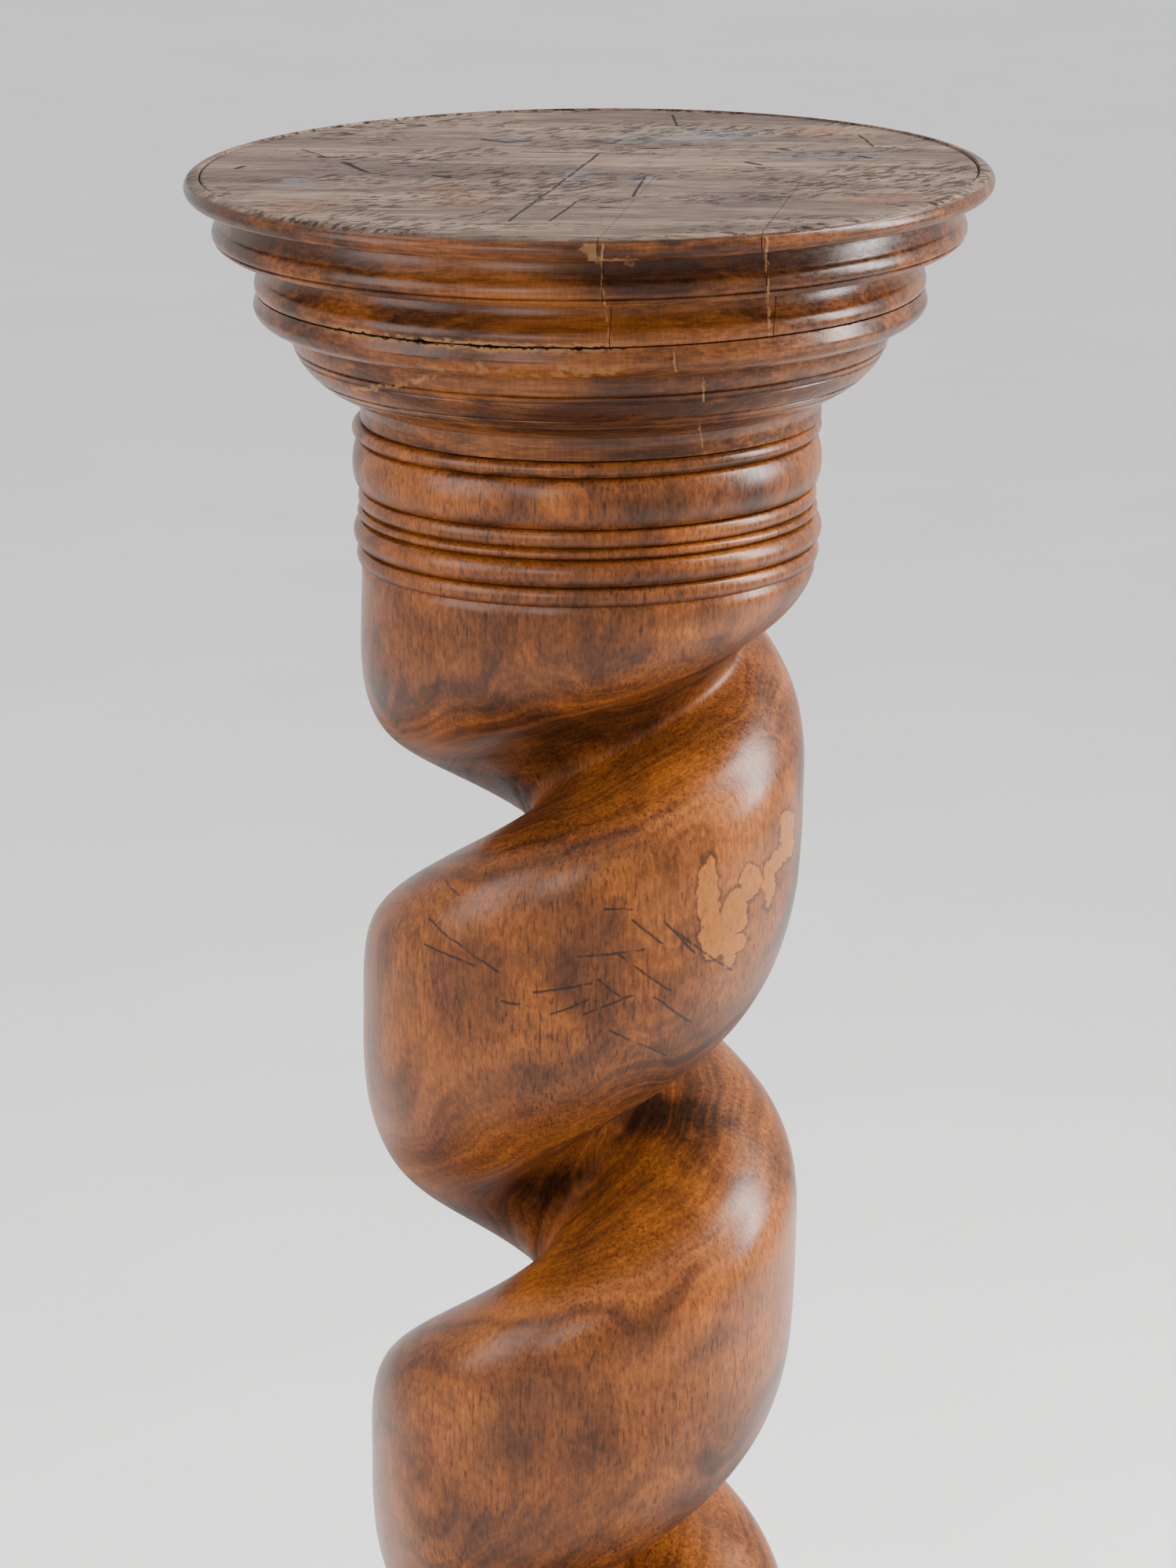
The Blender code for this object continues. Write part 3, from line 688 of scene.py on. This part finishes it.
# Orange wear on the front of the boards: (x, height), (half width, half height), strength
EDGE_SPOTS = (
    ((-0.045, 1.080), (0.060, 0.007), 0.22), ((-0.015, 1.062), (0.046, 0.014), 0.60),
    ((0.024, 1.096), (0.009, 0.003), 0.45), ((0.145, 1.066), (0.020, 0.012), 0.40),
    ((0.030, 1.050), (0.030, 0.006), 0.40), ((-0.030, 1.035), (0.050, 0.004), 0.50),
    ((0.120, 1.094), (0.050, 0.004), 0.35), ((-0.066, 1.020), (0.018, 0.008), 0.45),
    ((0.030, 1.078), (0.020, 0.007), -0.30), ((0.020, 1.018), (0.050, 0.016), -0.30),
    ((0.050, 1.060), (0.020, 0.004), 0.26), ((0.090, 1.000), (0.020, 0.010), 0.30),
    ((-0.075, 0.995), (0.030, 0.008), 0.25), ((0.060, 1.020), (0.025, 0.020), -0.25),
)


def flat_top_wood(wood, colours):
    """Colour and height of the dull flat top, with its marks."""
    plan = wood.flat(wood.x, wood.y)
    ragged = wood.warped(plan, 0.012, 50.0)
    along = (0.0, 0.0, -6.0)

    grain = wood.noise(wood.stretched((0.06, 0.7, 1.0), along), 620.0, 5.0, 0.7)
    pale = wood.noise(wood.stretched((0.22, 1.0, 1.0), along), 30.0, 6.0, 0.68, 0.6)
    top = wood.mix(wood.between(pale, 0.36, 0.64), colours.board, colours.board_pale)
    for centre, radii in WARM_SPOTS:
        top = wood.mix(wood.times(wood.spot(ragged, centre, radii), 0.40), top, colours.worn)
    for centre, radii in GREY_SPOTS:
        top = wood.mix(wood.times(wood.spot(ragged, centre, radii), 0.55), top, colours.grey_filler)
    top = wood.shade(top, wood.between(grain, 0.30, 0.70, 0.40, 1.60))

    nicks = wood.noise(wood.stretched((0.45, 1.0, 1.0), (0.0, 0.0, 14.0)), 270.0, 3.0, 0.6)
    nick_field = wood.between(wood.noise(wood.stretched((0.6, 1.0, 1.0)), 22.0, 3.0), 0.40, 0.62)
    nicks = wood.times(wood.between(nicks, 0.56, 0.60), nick_field)
    dashes = wood.noise(wood.stretched((0.25, 1.0, 1.0), (0.0, 0.0, 52.0)), 330.0, 2.0, 0.5)
    dash_field = wood.between(wood.noise(wood.stretched((0.8, 1.0, 1.0)), 17.0, 2.0), 0.46, 0.60)
    centre_field = wood.spot(ragged, (-0.035, -0.035), (0.060, 0.070), 0.5, 1.2)
    dashes = wood.times(wood.between(dashes, 0.54, 0.58), wood.most([dash_field, centre_field]))
    lines = wood.near_lines(wood.warped(plan, 0.0030, 45.0), SCORED_LINES, 0.0019)
    broken = wood.between(wood.noise(wood.place, 120.0, 2.0), 0.30, 0.46)
    gouges = wood.near_lines(wood.warped(plan, 0.0040, 90.0), GOUGES, 0.0044)
    marks = wood.most([wood.times(lines, broken), gouges, wood.times(nicks, 0.85),
                       wood.times(dashes, 0.75)])
    top = wood.mix(wood.times(marks, 0.92), top, colours.wax_and_shade)
    return top, marks, grain


def pale_repairs(wood, front):
    """Pale filler on the boards' front: thin ragged lines, torn flakes and chips."""
    wobble = wood.warped(front, 0.0034, 190.0)
    patchy = wood.between(wood.noise(wood.place, 260.0, 4.0, 0.6), 0.40, 0.54)
    joints = wood.near_lines(wobble, BLOCK_JOINTS, 0.0016)
    filler = wood.most([joints, wood.near_lines(wobble, BOWL_CRACKS, 0.0012)])
    fat = wood.near_lines(wood.warped(front, 0.0070, 120.0), FILLED_CRACK, 0.0030)
    rim_patch = wood.near_lines(wood.warped(front, 0.0110, 260.0), RIM_PATCH, 0.0064)
    chips = wood.spot(wood.warped(front, 0.012, 150.0), (-0.030, 1.0335), (0.048, 0.0032), 0.9, 1.1)
    chips = wood.times(chips, wood.between(wood.noise(wood.place, 170.0, 3.0), 0.50, 0.56))
    return wood.most([wood.times(filler, patchy), wood.times(fat, patchy), wood.times(rim_patch, 0.6),
                      wood.times(chips, 0.45)])


def open_joint(wood, front):
    """The glue joint that has opened at the front left: its dark gap, and the pale torn wood beside it."""
    torn = wood.warped(front, 0.0046, 240.0)
    height = wood.node("ShaderNodeSeparateXYZ", {}, torn).outputs[1]
    distance = wood.math("ABSOLUTE", wood.math("SUBTRACT", height, BOARD_LOW.z))
    where = wood.times(wood.between(wood.x, -0.126, -0.105), wood.between(wood.x, 0.030, -0.010))
    widest = wood.noise(wood.stretched((1.0, 1.0, 0.3)), 75.0, 3.0, 0.6)
    width = wood.times(wood.between(widest, 0.40, 0.68, 0.0002, 0.0010), where)
    gap = wood.between(wood.math("SUBTRACT", distance, width), 0.0002, -0.0002)
    flakes = wood.between(wood.noise(wood.stretched((0.5, 0.5, 1.0)), 230.0, 3.0, 0.6), 0.42, 0.50)
    beside = wood.between(wood.math("SUBTRACT", distance, width), 0.0024, 0.0010)
    return gap, wood.times(beside, flakes, where)


def board_wood(name, flat_height):
    """Turned board: dull flat top with tool marks, and dark polished edges with orange wear and repairs, and
    wax and painted shade in its creases.
    """
    colours = bpy.context.scene.pedestal_colours
    wood = Surface(name)
    along = (0.0, 0.0, -6.0)
    on_front = wood.between(wood.y, -0.060, -0.075)
    front = wood.flat(wood.x, wood.z)
    ragged = wood.warped(front, 0.010, 60.0)

    streaks = wood.noise(wood.stretched((0.04, 0.5, 1.0), along), 620.0, 5.0, 0.68, 0.3)
    bands = wood.noise(wood.stretched((0.12, 0.6, 1.0), along), 120.0, 5.0, 0.64, 0.6)
    broad = wood.noise(wood.stretched((0.5, 0.8, 1.4)), 15.0, 4.0, 0.6, 0.6)
    wear = wood.plus(wood.times(broad, 1.1), bands, 0.9)
    wear = wood.between(wear, 0.72, 1.34, 0.0, 0.90)
    for centre, radii, strength in EDGE_SPOTS:
        mask = wood.times(wood.spot(ragged, centre, radii, 0.0, 1.5), on_front)
        wear = wood.plus(wear, mask, strength)
    edge = wood.mix(wood.between(wear, 0.0, 1.0), colours.mahogany, colours.worn)
    edge = wood.shade(edge, wood.between(streaks, 0.28, 0.72, 0.62, 1.38))
    hatch = wood.noise(wood.stretched((1.0, 1.0, 0.07)), 760.0, 2.0, 0.5)
    edge = wood.shade(edge, wood.between(hatch, 0.34, 0.66, 0.86, 1.12))
    # Black in the hollows and incised lines from the relief: partly wax, partly painted shade that stands in
    # for the shadow in the creases.
    relief = wood.attribute("relief")
    edge = wood.mix(wood.between(relief, 0.44, 0.18, 0.0, 0.95), edge, colours.wax_and_shade)

    gap, torn = open_joint(wood, front)
    pale = wood.times(wood.most([pale_repairs(wood, front), torn]), on_front)
    edge = wood.mix(wood.times(pale, 0.85), edge, colours.filler)
    edge = wood.mix(wood.times(gap, on_front), edge, colours.wax_and_shade)

    top, marks, grain = flat_top_wood(wood, colours)
    on_top = wood.between(wood.z, flat_height - 0.0016, flat_height - 0.0002)
    base = wood.mix(on_top, edge, top)

    roughness = wood.between(streaks, 0.30, 0.70, 0.20, 0.34)
    roughness = wood.plus(roughness, on_top, 0.24)
    roughness = wood.plus(roughness, wood.most([pale, gap]), 0.30)
    cuts = wood.times(wood.math("SUBTRACT", 1.0, marks), on_top)
    solid = wood.math("SUBTRACT", 1.0, gap)
    dull = wood.most([wood.times(marks, on_top), pale, gap, wood.underside(-0.75, -0.05)])
    specular = wood.between(dull, 0.0, 1.0, 0.24, 0.05)
    wood.bump([(streaks, 0.14, 0.0006), (wood.times(grain, on_top), 0.8, 0.0010), (cuts, 0.8, 0.0012),
               (solid, 0.6, 0.0010)])
    return wood.done(base, roughness, specular)


def block_prism(foot, top, clearance):
    """A guide in the outline of the let-in block, grown by the clearance on its three glued sides."""
    sizes = bpy.context.scene.pedestal_capital
    along = Vector((math.sin(sizes.block_turn), math.cos(sizes.block_turn), 0.0))
    across = Vector((math.cos(sizes.block_turn), -math.sin(sizes.block_turn), 0.0))
    left = sizes.block_left - clearance
    right = sizes.block_left + sizes.block_width + clearance
    front = -2 * sizes.rim_radius
    back_left = sizes.block_back_left + clearance
    back_right = sizes.block_back_right + clearance
    corners = [(left, front), (right, front), (right, back_right), (left, back_left)]
    floor = Vector((0.0, 0.0, foot))
    shape = bmesh.new()
    face = shape.faces.new([shape.verts.new(across * a + along * b + floor) for a, b in corners])
    lifted = bmesh.ops.extrude_face_region(shape, geom=[face])["geom"]
    moved = [item for item in lifted if isinstance(item, bmesh.types.BMVert)]
    bmesh.ops.translate(shape, verts=moved, vec=(0.0, 0.0, top - foot))
    bmesh.ops.recalc_face_normals(shape, faces=shape.faces[:])
    mesh = bpy.data.meshes.new("block_guide")
    shape.to_mesh(mesh)
    shape.free()
    guide = bpy.data.objects.new("block_guide", mesh)
    bpy.context.scene.collection.objects.link(guide)
    return guide


def cut(made, guide, operation):
    """Cut a piece by a guide, or keep only what is inside it, and remove the guide."""
    modifier = made.modifiers.new("cut", "BOOLEAN")
    modifier.operation = operation
    modifier.object = guide
    modifier.solver = "EXACT"
    evaluated = made.evaluated_get(bpy.context.evaluated_depsgraph_get())
    old = made.data
    made.data = bpy.data.meshes.new_from_object(evaluated)
    made.modifiers.clear()
    bpy.data.meshes.remove(old)
    bpy.data.objects.remove(guide)


def ring_face(root, radius, top, middle, roll, foot):
    """A stepped ring: a hollow face under the step above, then a rolled edge that ends at its foot."""
    start = math.radians(ROLL_START)
    roll_start = (radius - roll + roll * math.cos(start), middle + roll * math.sin(start))
    lean = math.degrees(math.asin(max(-1.0, (foot - middle) / roll)))
    points = [(root, top)]
    points += hollow((root, top), roll_start, RING_HOLLOW, 8)
    points += arc((radius - roll, middle), (roll, roll), ROLL_START, max(ROLL_END, lean), 14)
    return points


def capital_outline():
    """The upper board of the capital: flat top, rim bead and two stepped rings."""
    sizes = bpy.context.scene.pedestal_capital
    top = flat_top()
    foot = BOARD_LOW.z
    flat = sizes.rim_radius - sizes.bead_depth
    bead_middle = top + sizes.rim_rise - sizes.bead_height / 2
    first_middle = top - sizes.first_middle
    first_foot = first_middle - sizes.roll
    outline = [(0.0, top), (flat - 2.2 * RIM_GROOVE, top), (flat - RIM_GROOVE, top - RIM_GROOVE),
               (flat - 0.2 * RIM_GROOVE, top + 0.2 * RIM_GROOVE)]
    outline += arc((flat, bead_middle), (sizes.bead_depth, sizes.bead_height / 2), 90.0, -90.0, 20)
    first = sizes.rim_radius - sizes.first_in
    second = sizes.rim_radius - sizes.second_in
    outline += ring_face(first - sizes.first_hollow, first, bead_middle - sizes.bead_height / 2, first_middle,
                         sizes.roll, first_foot)
    outline += ring_face(second - sizes.second_hollow, second, first_foot - sizes.undercut,
                         top - sizes.second_middle, sizes.roll, foot)
    outline.append((0.0, foot))
    return outline


def hand_turned(shape, amount, scale, flat_above=None):
    """Small unevenness of hand work: each point moves in or out by a smooth random amount."""
    for point in shape.verts:
        radius = math.hypot(point.co.x, point.co.y)
        if radius < 0.02 or (flat_above is not None and point.co.z > flat_above):
            continue
        push = amount * noise.noise(point.co * scale)
        point.co.x *= 1.0 - (abs(push) + push) / radius
        point.co.y *= 1.0 - (abs(push) + push) / radius


class PEDESTAL_OT_capital_top(bpy.types.Operator):
    """Shape the capital's upper board and the block that is let into it"""

    bl_idname = "pedestal.capital_top"
    bl_label = "Upper board and block"

    def execute(self, context):
        sizes = context.scene.pedestal_capital
        outline = incised(fine(capital_outline(), CAPITAL_SPACING), CAPITAL_LINES)
        outline = thinned(outline, sizes.rim_radius - sizes.bead_depth - 0.004)
        for name, slot, clearance, operation in (
                ("upper_board", "top_board_wood", sizes.glue_gap, "DIFFERENCE"),
                ("let_in_wood_block", "block_wood", 0.0, "INTERSECT")):
            shape = turned_shape(outline, CAPITAL_SIDES)
            hand_turned(shape, HAND_WORK, 14.0, flat_top() - 0.0015)
            made = piece(shape, name)
            cut(made, block_prism(BOARD_LOW.z - 0.01, BOARD_HIGH.z + 0.01, clearance), operation)
            note_relief(made, *BOARD_RELIEF)
            node = "capital_top" if name == "upper_board" else "let_in_block"
            finish(made, board_wood(name + "_wood", flat_top()), slot, node)
        return {"FINISHED"}


def bowl_outline():
    """The lower board of the capital: a bead, then a bowl that runs in to a plain cove."""
    sizes = bpy.context.scene.pedestal_capital
    top = BOWL_HIGH.z
    foot = BOWL_LOW.z
    below_middle = BOARD_HIGH.z - sizes.rim_rise - sizes.second_middle - BOARD_LOW.z
    reach = math.sqrt(max(0.0, sizes.roll ** 2 - below_middle ** 2))
    joint = sizes.rim_radius - sizes.second_in - sizes.roll + reach
    bead_foot_radius = sizes.rim_radius - sizes.lower_in - sizes.lower_depth
    bead_middle = top - sizes.lower_height * sizes.lower_share
    bead_foot = top - sizes.lower_height
    bowl_height = bead_foot - sizes.cove_height - foot
    bowl_depth = (bead_foot_radius - sizes.cove_radius - sizes.cove_lip) / (1.0 - math.cos(sizes.bowl_sweep))
    outline = [(0.0, top), (joint, top)]
    outline += arc((bead_foot_radius, bead_middle), (sizes.lower_depth, bead_middle - bead_foot),
                   0.0, -90.0, 24)
    outline += arc((bead_foot_radius - bowl_depth, bead_foot), (bowl_depth, bowl_height),
                   0.0, -math.degrees(sizes.bowl_sweep), 24)
    outline += [(sizes.cove_radius, foot + sizes.cove_height), (sizes.cove_radius, foot), (0.0, foot)]
    return outline


class PEDESTAL_OT_capital_bowl(bpy.types.Operator):
    """Shape the capital's lower board with its bead, bowl and incised lines"""

    bl_idname = "pedestal.capital_bowl"
    bl_label = "Lower board"

    def execute(self, context):
        outline = incised(fine(bowl_outline(), BOWL_SPACING), BOWL_LINES)
        outline = thinned(outline, context.scene.pedestal_capital.cove_radius - 0.004)
        shape = turned_shape(outline, CAPITAL_SIDES)
        hand_turned(shape, HAND_WORK, 14.0)
        made = piece(shape, "lower_board")
        note_relief(made, *BOARD_RELIEF)
        finish(made, board_wood("lower_board_wood", flat_top()), "bowl_wood", "capital_bowl")
        return {"FINISHED"}


def smooth(value):
    """An even change from 0 to 1."""
    value = min(max(value, 0.0), 1.0)
    return value * value * (3.0 - 2.0 * value)


def section_radius(from_groove, crest):
    """Radius of the twist's level section at an angle from the groove's middle."""
    sizes = bpy.context.scene.pedestal_shaft
    below = smooth(0.5 + from_groove / SIDES_BLEND)
    floor_share = sizes.upper_floor + (sizes.lower_floor - sizes.upper_floor) * below
    flatness = sizes.upper_flatness + (sizes.lower_flatness - sizes.upper_flatness) * below
    fullness = sizes.upper_fullness + (sizes.lower_fullness - sizes.upper_fullness) * below
    open_share = (abs(from_groove) / math.pi - floor_share) / (1.0 - floor_share)
    softened = open_share + math.hypot(open_share, sizes.floor_softness)
    open_share = softened / (1.0 + math.hypot(1.0, sizes.floor_softness))
    rise = (1.0 - (1.0 - min(open_share, 1.0)) ** flatness) ** (1.0 / fullness)
    return sizes.floor_radius + (crest - sizes.floor_radius) * rise


def bead_run(top, valley, beads):
    """Beads under each other, as (height, crest radius, radius of the valley below)."""
    sizes = bpy.context.scene.pedestal_shaft
    points = []
    for height, crest, next_valley in beads:
        middle = top - height / 2
        half = (height - sizes.bead_gap) / 2
        points += arc((valley, middle), (crest - valley, half), 90.0, 0.0, 7)
        points += arc((next_valley, middle), (crest - next_valley, half), -12.0, -90.0, 6)
        points.append((next_valley - sizes.bead_slot, top - height))
        top, valley = top - height, next_valley
    return points


def shaft_outline():
    """Straight outline of the log: beads at both ends, with the plain stretch of the twist between."""
    sizes = bpy.context.scene.pedestal_shaft
    top = SHAFT_HIGH.z
    foot = SHAFT_LOW.z
    twist_top = top - sizes.neck_height
    twist_foot = foot + sizes.collar_height
    collar_crest = sizes.collar_root + sizes.collar_bead
    collar_beads = [(sizes.collar_height / 3, collar_crest, sizes.collar_root)] * 3
    outline = [(0.0, top)] + bead_run(top, NECK_TOP_VALLEY, NECK_BEADS)
    outline += [(sizes.neck_root, twist_top + (twist_foot - twist_top) * level / TWIST_LEVELS)
                for level in range(1, TWIST_LEVELS)]
    outline += bead_run(twist_foot, sizes.collar_root, collar_beads) + [(0.0, foot)]
    return outline


class PEDESTAL_OT_shaft(bpy.types.Operator):
    """Shape the log: turned neck and collar, and the twist with its deep groove"""

    bl_idname = "pedestal.shaft"
    bl_label = "Twisted shaft"

    def execute(self, context):
        sizes = context.scene.pedestal_shaft
        twist_top = SHAFT_HIGH.z - sizes.neck_height
        twist_foot = SHAFT_LOW.z + sizes.collar_height
        twist_height = twist_top - twist_foot
        shape = turned_shape(shaft_outline(), SHAFT_SIDES)
        for point in shape.verts:
            height = point.co.z
            plain_radius = math.hypot(point.co.x, point.co.y)
            if plain_radius < MERGE_DISTANCE:
                point.co.x = sizes.log_shift
                continue
            below_top = twist_top - min(max(height, twist_foot), twist_top)
            down = below_top / twist_height
            from_groove = math.atan2(point.co.y, point.co.x)
            from_groove -= sizes.crowding * math.sin(from_groove)
            azimuth = from_groove + sizes.start - math.tau * below_top / sizes.pitch
            azimuth += sizes.run_in_turn * smooth(1.0 - below_top / sizes.turn_height)
            azimuth += math.tau * sizes.sag / sizes.pitch * (1.0 - math.cos(azimuth)) / 2
            crest = sizes.top_radius + (sizes.foot_radius - sizes.top_radius) * down
            from_end = min(twist_top - height, height - twist_foot)
            carved = smooth((twist_top - height - sizes.start_drop) / sizes.run_in) ** sizes.run_in_curve
            carved *= smooth((height - twist_foot - sizes.end_rise) / sizes.run_out)
            carved_radius = section_radius(from_groove, crest)
            if from_end > 0.0:
                plain_radius += (sizes.collar_root - sizes.neck_root) * smooth(down)
            radius = plain_radius + carved * (carved_radius - plain_radius)
            shift = carved * (sizes.top_shift + (sizes.foot_shift - sizes.top_shift) * down)
            around = Vector((math.cos(azimuth), math.sin(azimuth), height * 9.0))
            wave = sizes.unevenness * noise.noise(around * 1.6) + sizes.facets * noise.noise(around * 5.0)
            radius += carved * wave
            point.co.x = radius * math.cos(azimuth) + sizes.log_shift + shift
            point.co.y = radius * math.sin(azimuth)
        made = piece(shape, "twisted_log", 50.0)
        note_relief(made, *LOG_RELIEF)
        finish(made, shaft_wood(), "shaft_wood", "twisted_shaft")
        return {"FINISHED"}


def base_outline():
    """The board under the shaft: a short neck, a bowl turned upside down and a bead."""
    sizes = bpy.context.scene.pedestal_base
    top = BASE_HIGH.z
    foot = BASE_LOW.z
    bowl_radius = sizes.radius - sizes.bead_in - sizes.bead_depth
    bead_top = foot + sizes.hollow_height + sizes.bead_height
    bowl_radii = (bowl_radius - sizes.neck_radius + sizes.ledge, top - sizes.neck_height - bead_top)
    outline = [(0.0, top), (sizes.neck_radius, top), (sizes.neck_radius, top - sizes.neck_height)]
    outline += arc((sizes.neck_radius - sizes.ledge, bead_top), bowl_radii, 70.0, 0.0, 24)
    outline += arc((bowl_radius, bead_top - sizes.bead_height / 2), (sizes.bead_depth, sizes.bead_height / 2),
                   80.0, -90.0, 24)
    outline += [(bowl_radius, foot), (0.0, foot)]
    return outline


def plinth_outline():
    """The foot: a low step, then a plain band with rounded edges and a flat underside."""
    sizes = bpy.context.scene.pedestal_base
    top = PLINTH_HIGH.z
    foot = PLINTH_LOW.z
    band_top = top - sizes.step_height
    step_radius = sizes.radius - sizes.step_in
    outline = [(0.0, top), (step_radius, top), (step_radius, band_top)]
    outline += arc((sizes.radius - sizes.edge, band_top - sizes.edge), (sizes.edge, sizes.edge),
                   80.0, 0.0, 10)
    outline += [(sizes.radius, foot + sizes.chamfer), (sizes.radius - sizes.chamfer, foot), (0.0, foot)]
    return outline


class PEDESTAL_OT_base(bpy.types.Operator):
    """Shape the base moulding and the plinth"""

    bl_idname = "pedestal.base"
    bl_label = "Base and plinth"

    def execute(self, context):
        for name, outline, node in (("base_ring", base_outline(), "base_moulding"),
                                    ("foot_ring", plinth_outline(), "base_plinth")):
            shape = turned_shape(fine(outline, BASE_SPACING), BASE_SIDES)
            hand_turned(shape, HAND_WORK, 12.0)
            made = piece(shape, name)
            note_relief(made, *BASE_RELIEF)
            finish(made, board_wood(name + "_wood", BOARD_HIGH.z), "base_wood", node)
        return {"FINISHED"}


def softbox(name, place, target, width, height, power, tint):
    """An area light that faces the target."""
    data = bpy.data.lights.new(name, "AREA")
    data.shape = "RECTANGLE"
    data.size = width
    data.size_y = height
    data.energy = power
    data.color = tint
    lamp = bpy.data.objects.new(name, data)
    lamp.location = place
    lamp.rotation_euler = (Vector(target) - Vector(place)).to_track_quat("-Z", "Y").to_euler()
    bpy.context.scene.collection.objects.link(lamp)


class PEDESTAL_OT_studio(bpy.types.Operator):
    """Set up the floor, the soft light and the camera"""

    bl_idname = "pedestal.studio"
    bl_label = "Studio"

    def execute(self, context):
        settings = context.scene.pedestal_studio
        shape = bmesh.new()
        bmesh.ops.create_circle(shape, cap_ends=True, segments=64, radius=settings.floor_radius)
        mesh = bpy.data.meshes.new("floor")
        shape.to_mesh(mesh)
        shape.free()
        floor = bpy.data.objects.new("floor", mesh)
        context.scene.collection.objects.link(floor)
        paint = Surface("floor_paint")
        tone = paint.between(paint.noise(paint.place, 3.0), 0.3, 0.7, 0.88, 0.92)
        mesh.materials.append(paint.done(paint.shade(paint.plain((1.0, 1.0, 1.0)), tone), 0.9, 0.2))

        world = bpy.data.worlds.new("white_surround")
        world.use_nodes = True
        surround = world.node_tree.nodes["Background"]
        surround.inputs["Color"].default_value = (1.0, 1.0, 1.0, 1.0)
        surround.inputs["Strength"].default_value = settings.sky
        context.scene.world = world

        middle = (0.0, 0.0, 0.8)
        softbox("right_softbox", (1.9, 0.05, 1.9), middle, 0.40, 2.3, settings.right, (1.0, 0.98, 0.96))
        softbox("left_softbox", (-2.0, -1.0, 1.5), middle, 1.3, 1.6, settings.left, (0.98, 0.98, 1.0))
        softbox("front_softbox", (-1.0, -2.2, 1.5), middle, 0.8, 0.8, settings.front, (1.0, 1.0, 1.0))

        data = bpy.data.cameras.new("camera")
        data.lens = settings.lens
        data.sensor_width = 36.0
        data.clip_end = 200.0
        camera = bpy.data.objects.new("camera", data)
        camera.location = (settings.sideways, -settings.distance, flat_top() + settings.eye_height)
        turn = Matrix.Rotation(math.pi / 2 - settings.tilt, 4, "X") @ Matrix.Rotation(-settings.roll, 4, "Z")
        camera.rotation_euler = turn.to_euler()
        context.scene.collection.objects.link(camera)
        context.scene.camera = camera
        return {"FINISHED"}


SETTINGS = (("pedestal_capital", CapitalSizes), ("pedestal_shaft", ShaftSizes), ("pedestal_base", BaseSizes),
            ("pedestal_colours", WoodColours), ("pedestal_studio", StudioSettings))
STEPS = (PEDESTAL_OT_capital_top, PEDESTAL_OT_capital_bowl, PEDESTAL_OT_shaft, PEDESTAL_OT_base,
         PEDESTAL_OT_studio)


class PEDESTAL_PT_steps(bpy.types.Panel):
    """Lists the steps and the settings of the pedestal"""

    bl_idname = "PEDESTAL_PT_steps"
    bl_label = "Carved Wood Pedestal"
    bl_space_type = "VIEW_3D"
    bl_region_type = "UI"
    bl_category = "Pedestal"

    def draw(self, context):
        for step in STEPS:
            self.layout.operator(step.bl_idname)
        for name, group in SETTINGS:
            box = self.layout.box()
            box.label(text=group.__doc__)
            for field in group.__annotations__:
                box.prop(getattr(context.scene, name), field)


def register():
    for group in [group for name, group in SETTINGS] + list(STEPS) + [PEDESTAL_PT_steps]:
        bpy.utils.register_class(group)
    for name, group in SETTINGS:
        setattr(bpy.types.Scene, name, PointerProperty(type=group))


def unregister():
    for name, group in SETTINGS:
        delattr(bpy.types.Scene, name)
    for group in [PEDESTAL_PT_steps] + list(STEPS) + [group for name, group in SETTINGS]:
        bpy.utils.unregister_class(group)


def main():
    register()
    bpy.ops.pedestal.capital_top()
    bpy.ops.pedestal.capital_bowl()
    bpy.ops.pedestal.shaft()
    bpy.ops.pedestal.base()
    bpy.ops.pedestal.studio()


if __name__ == "__main__":
    main()
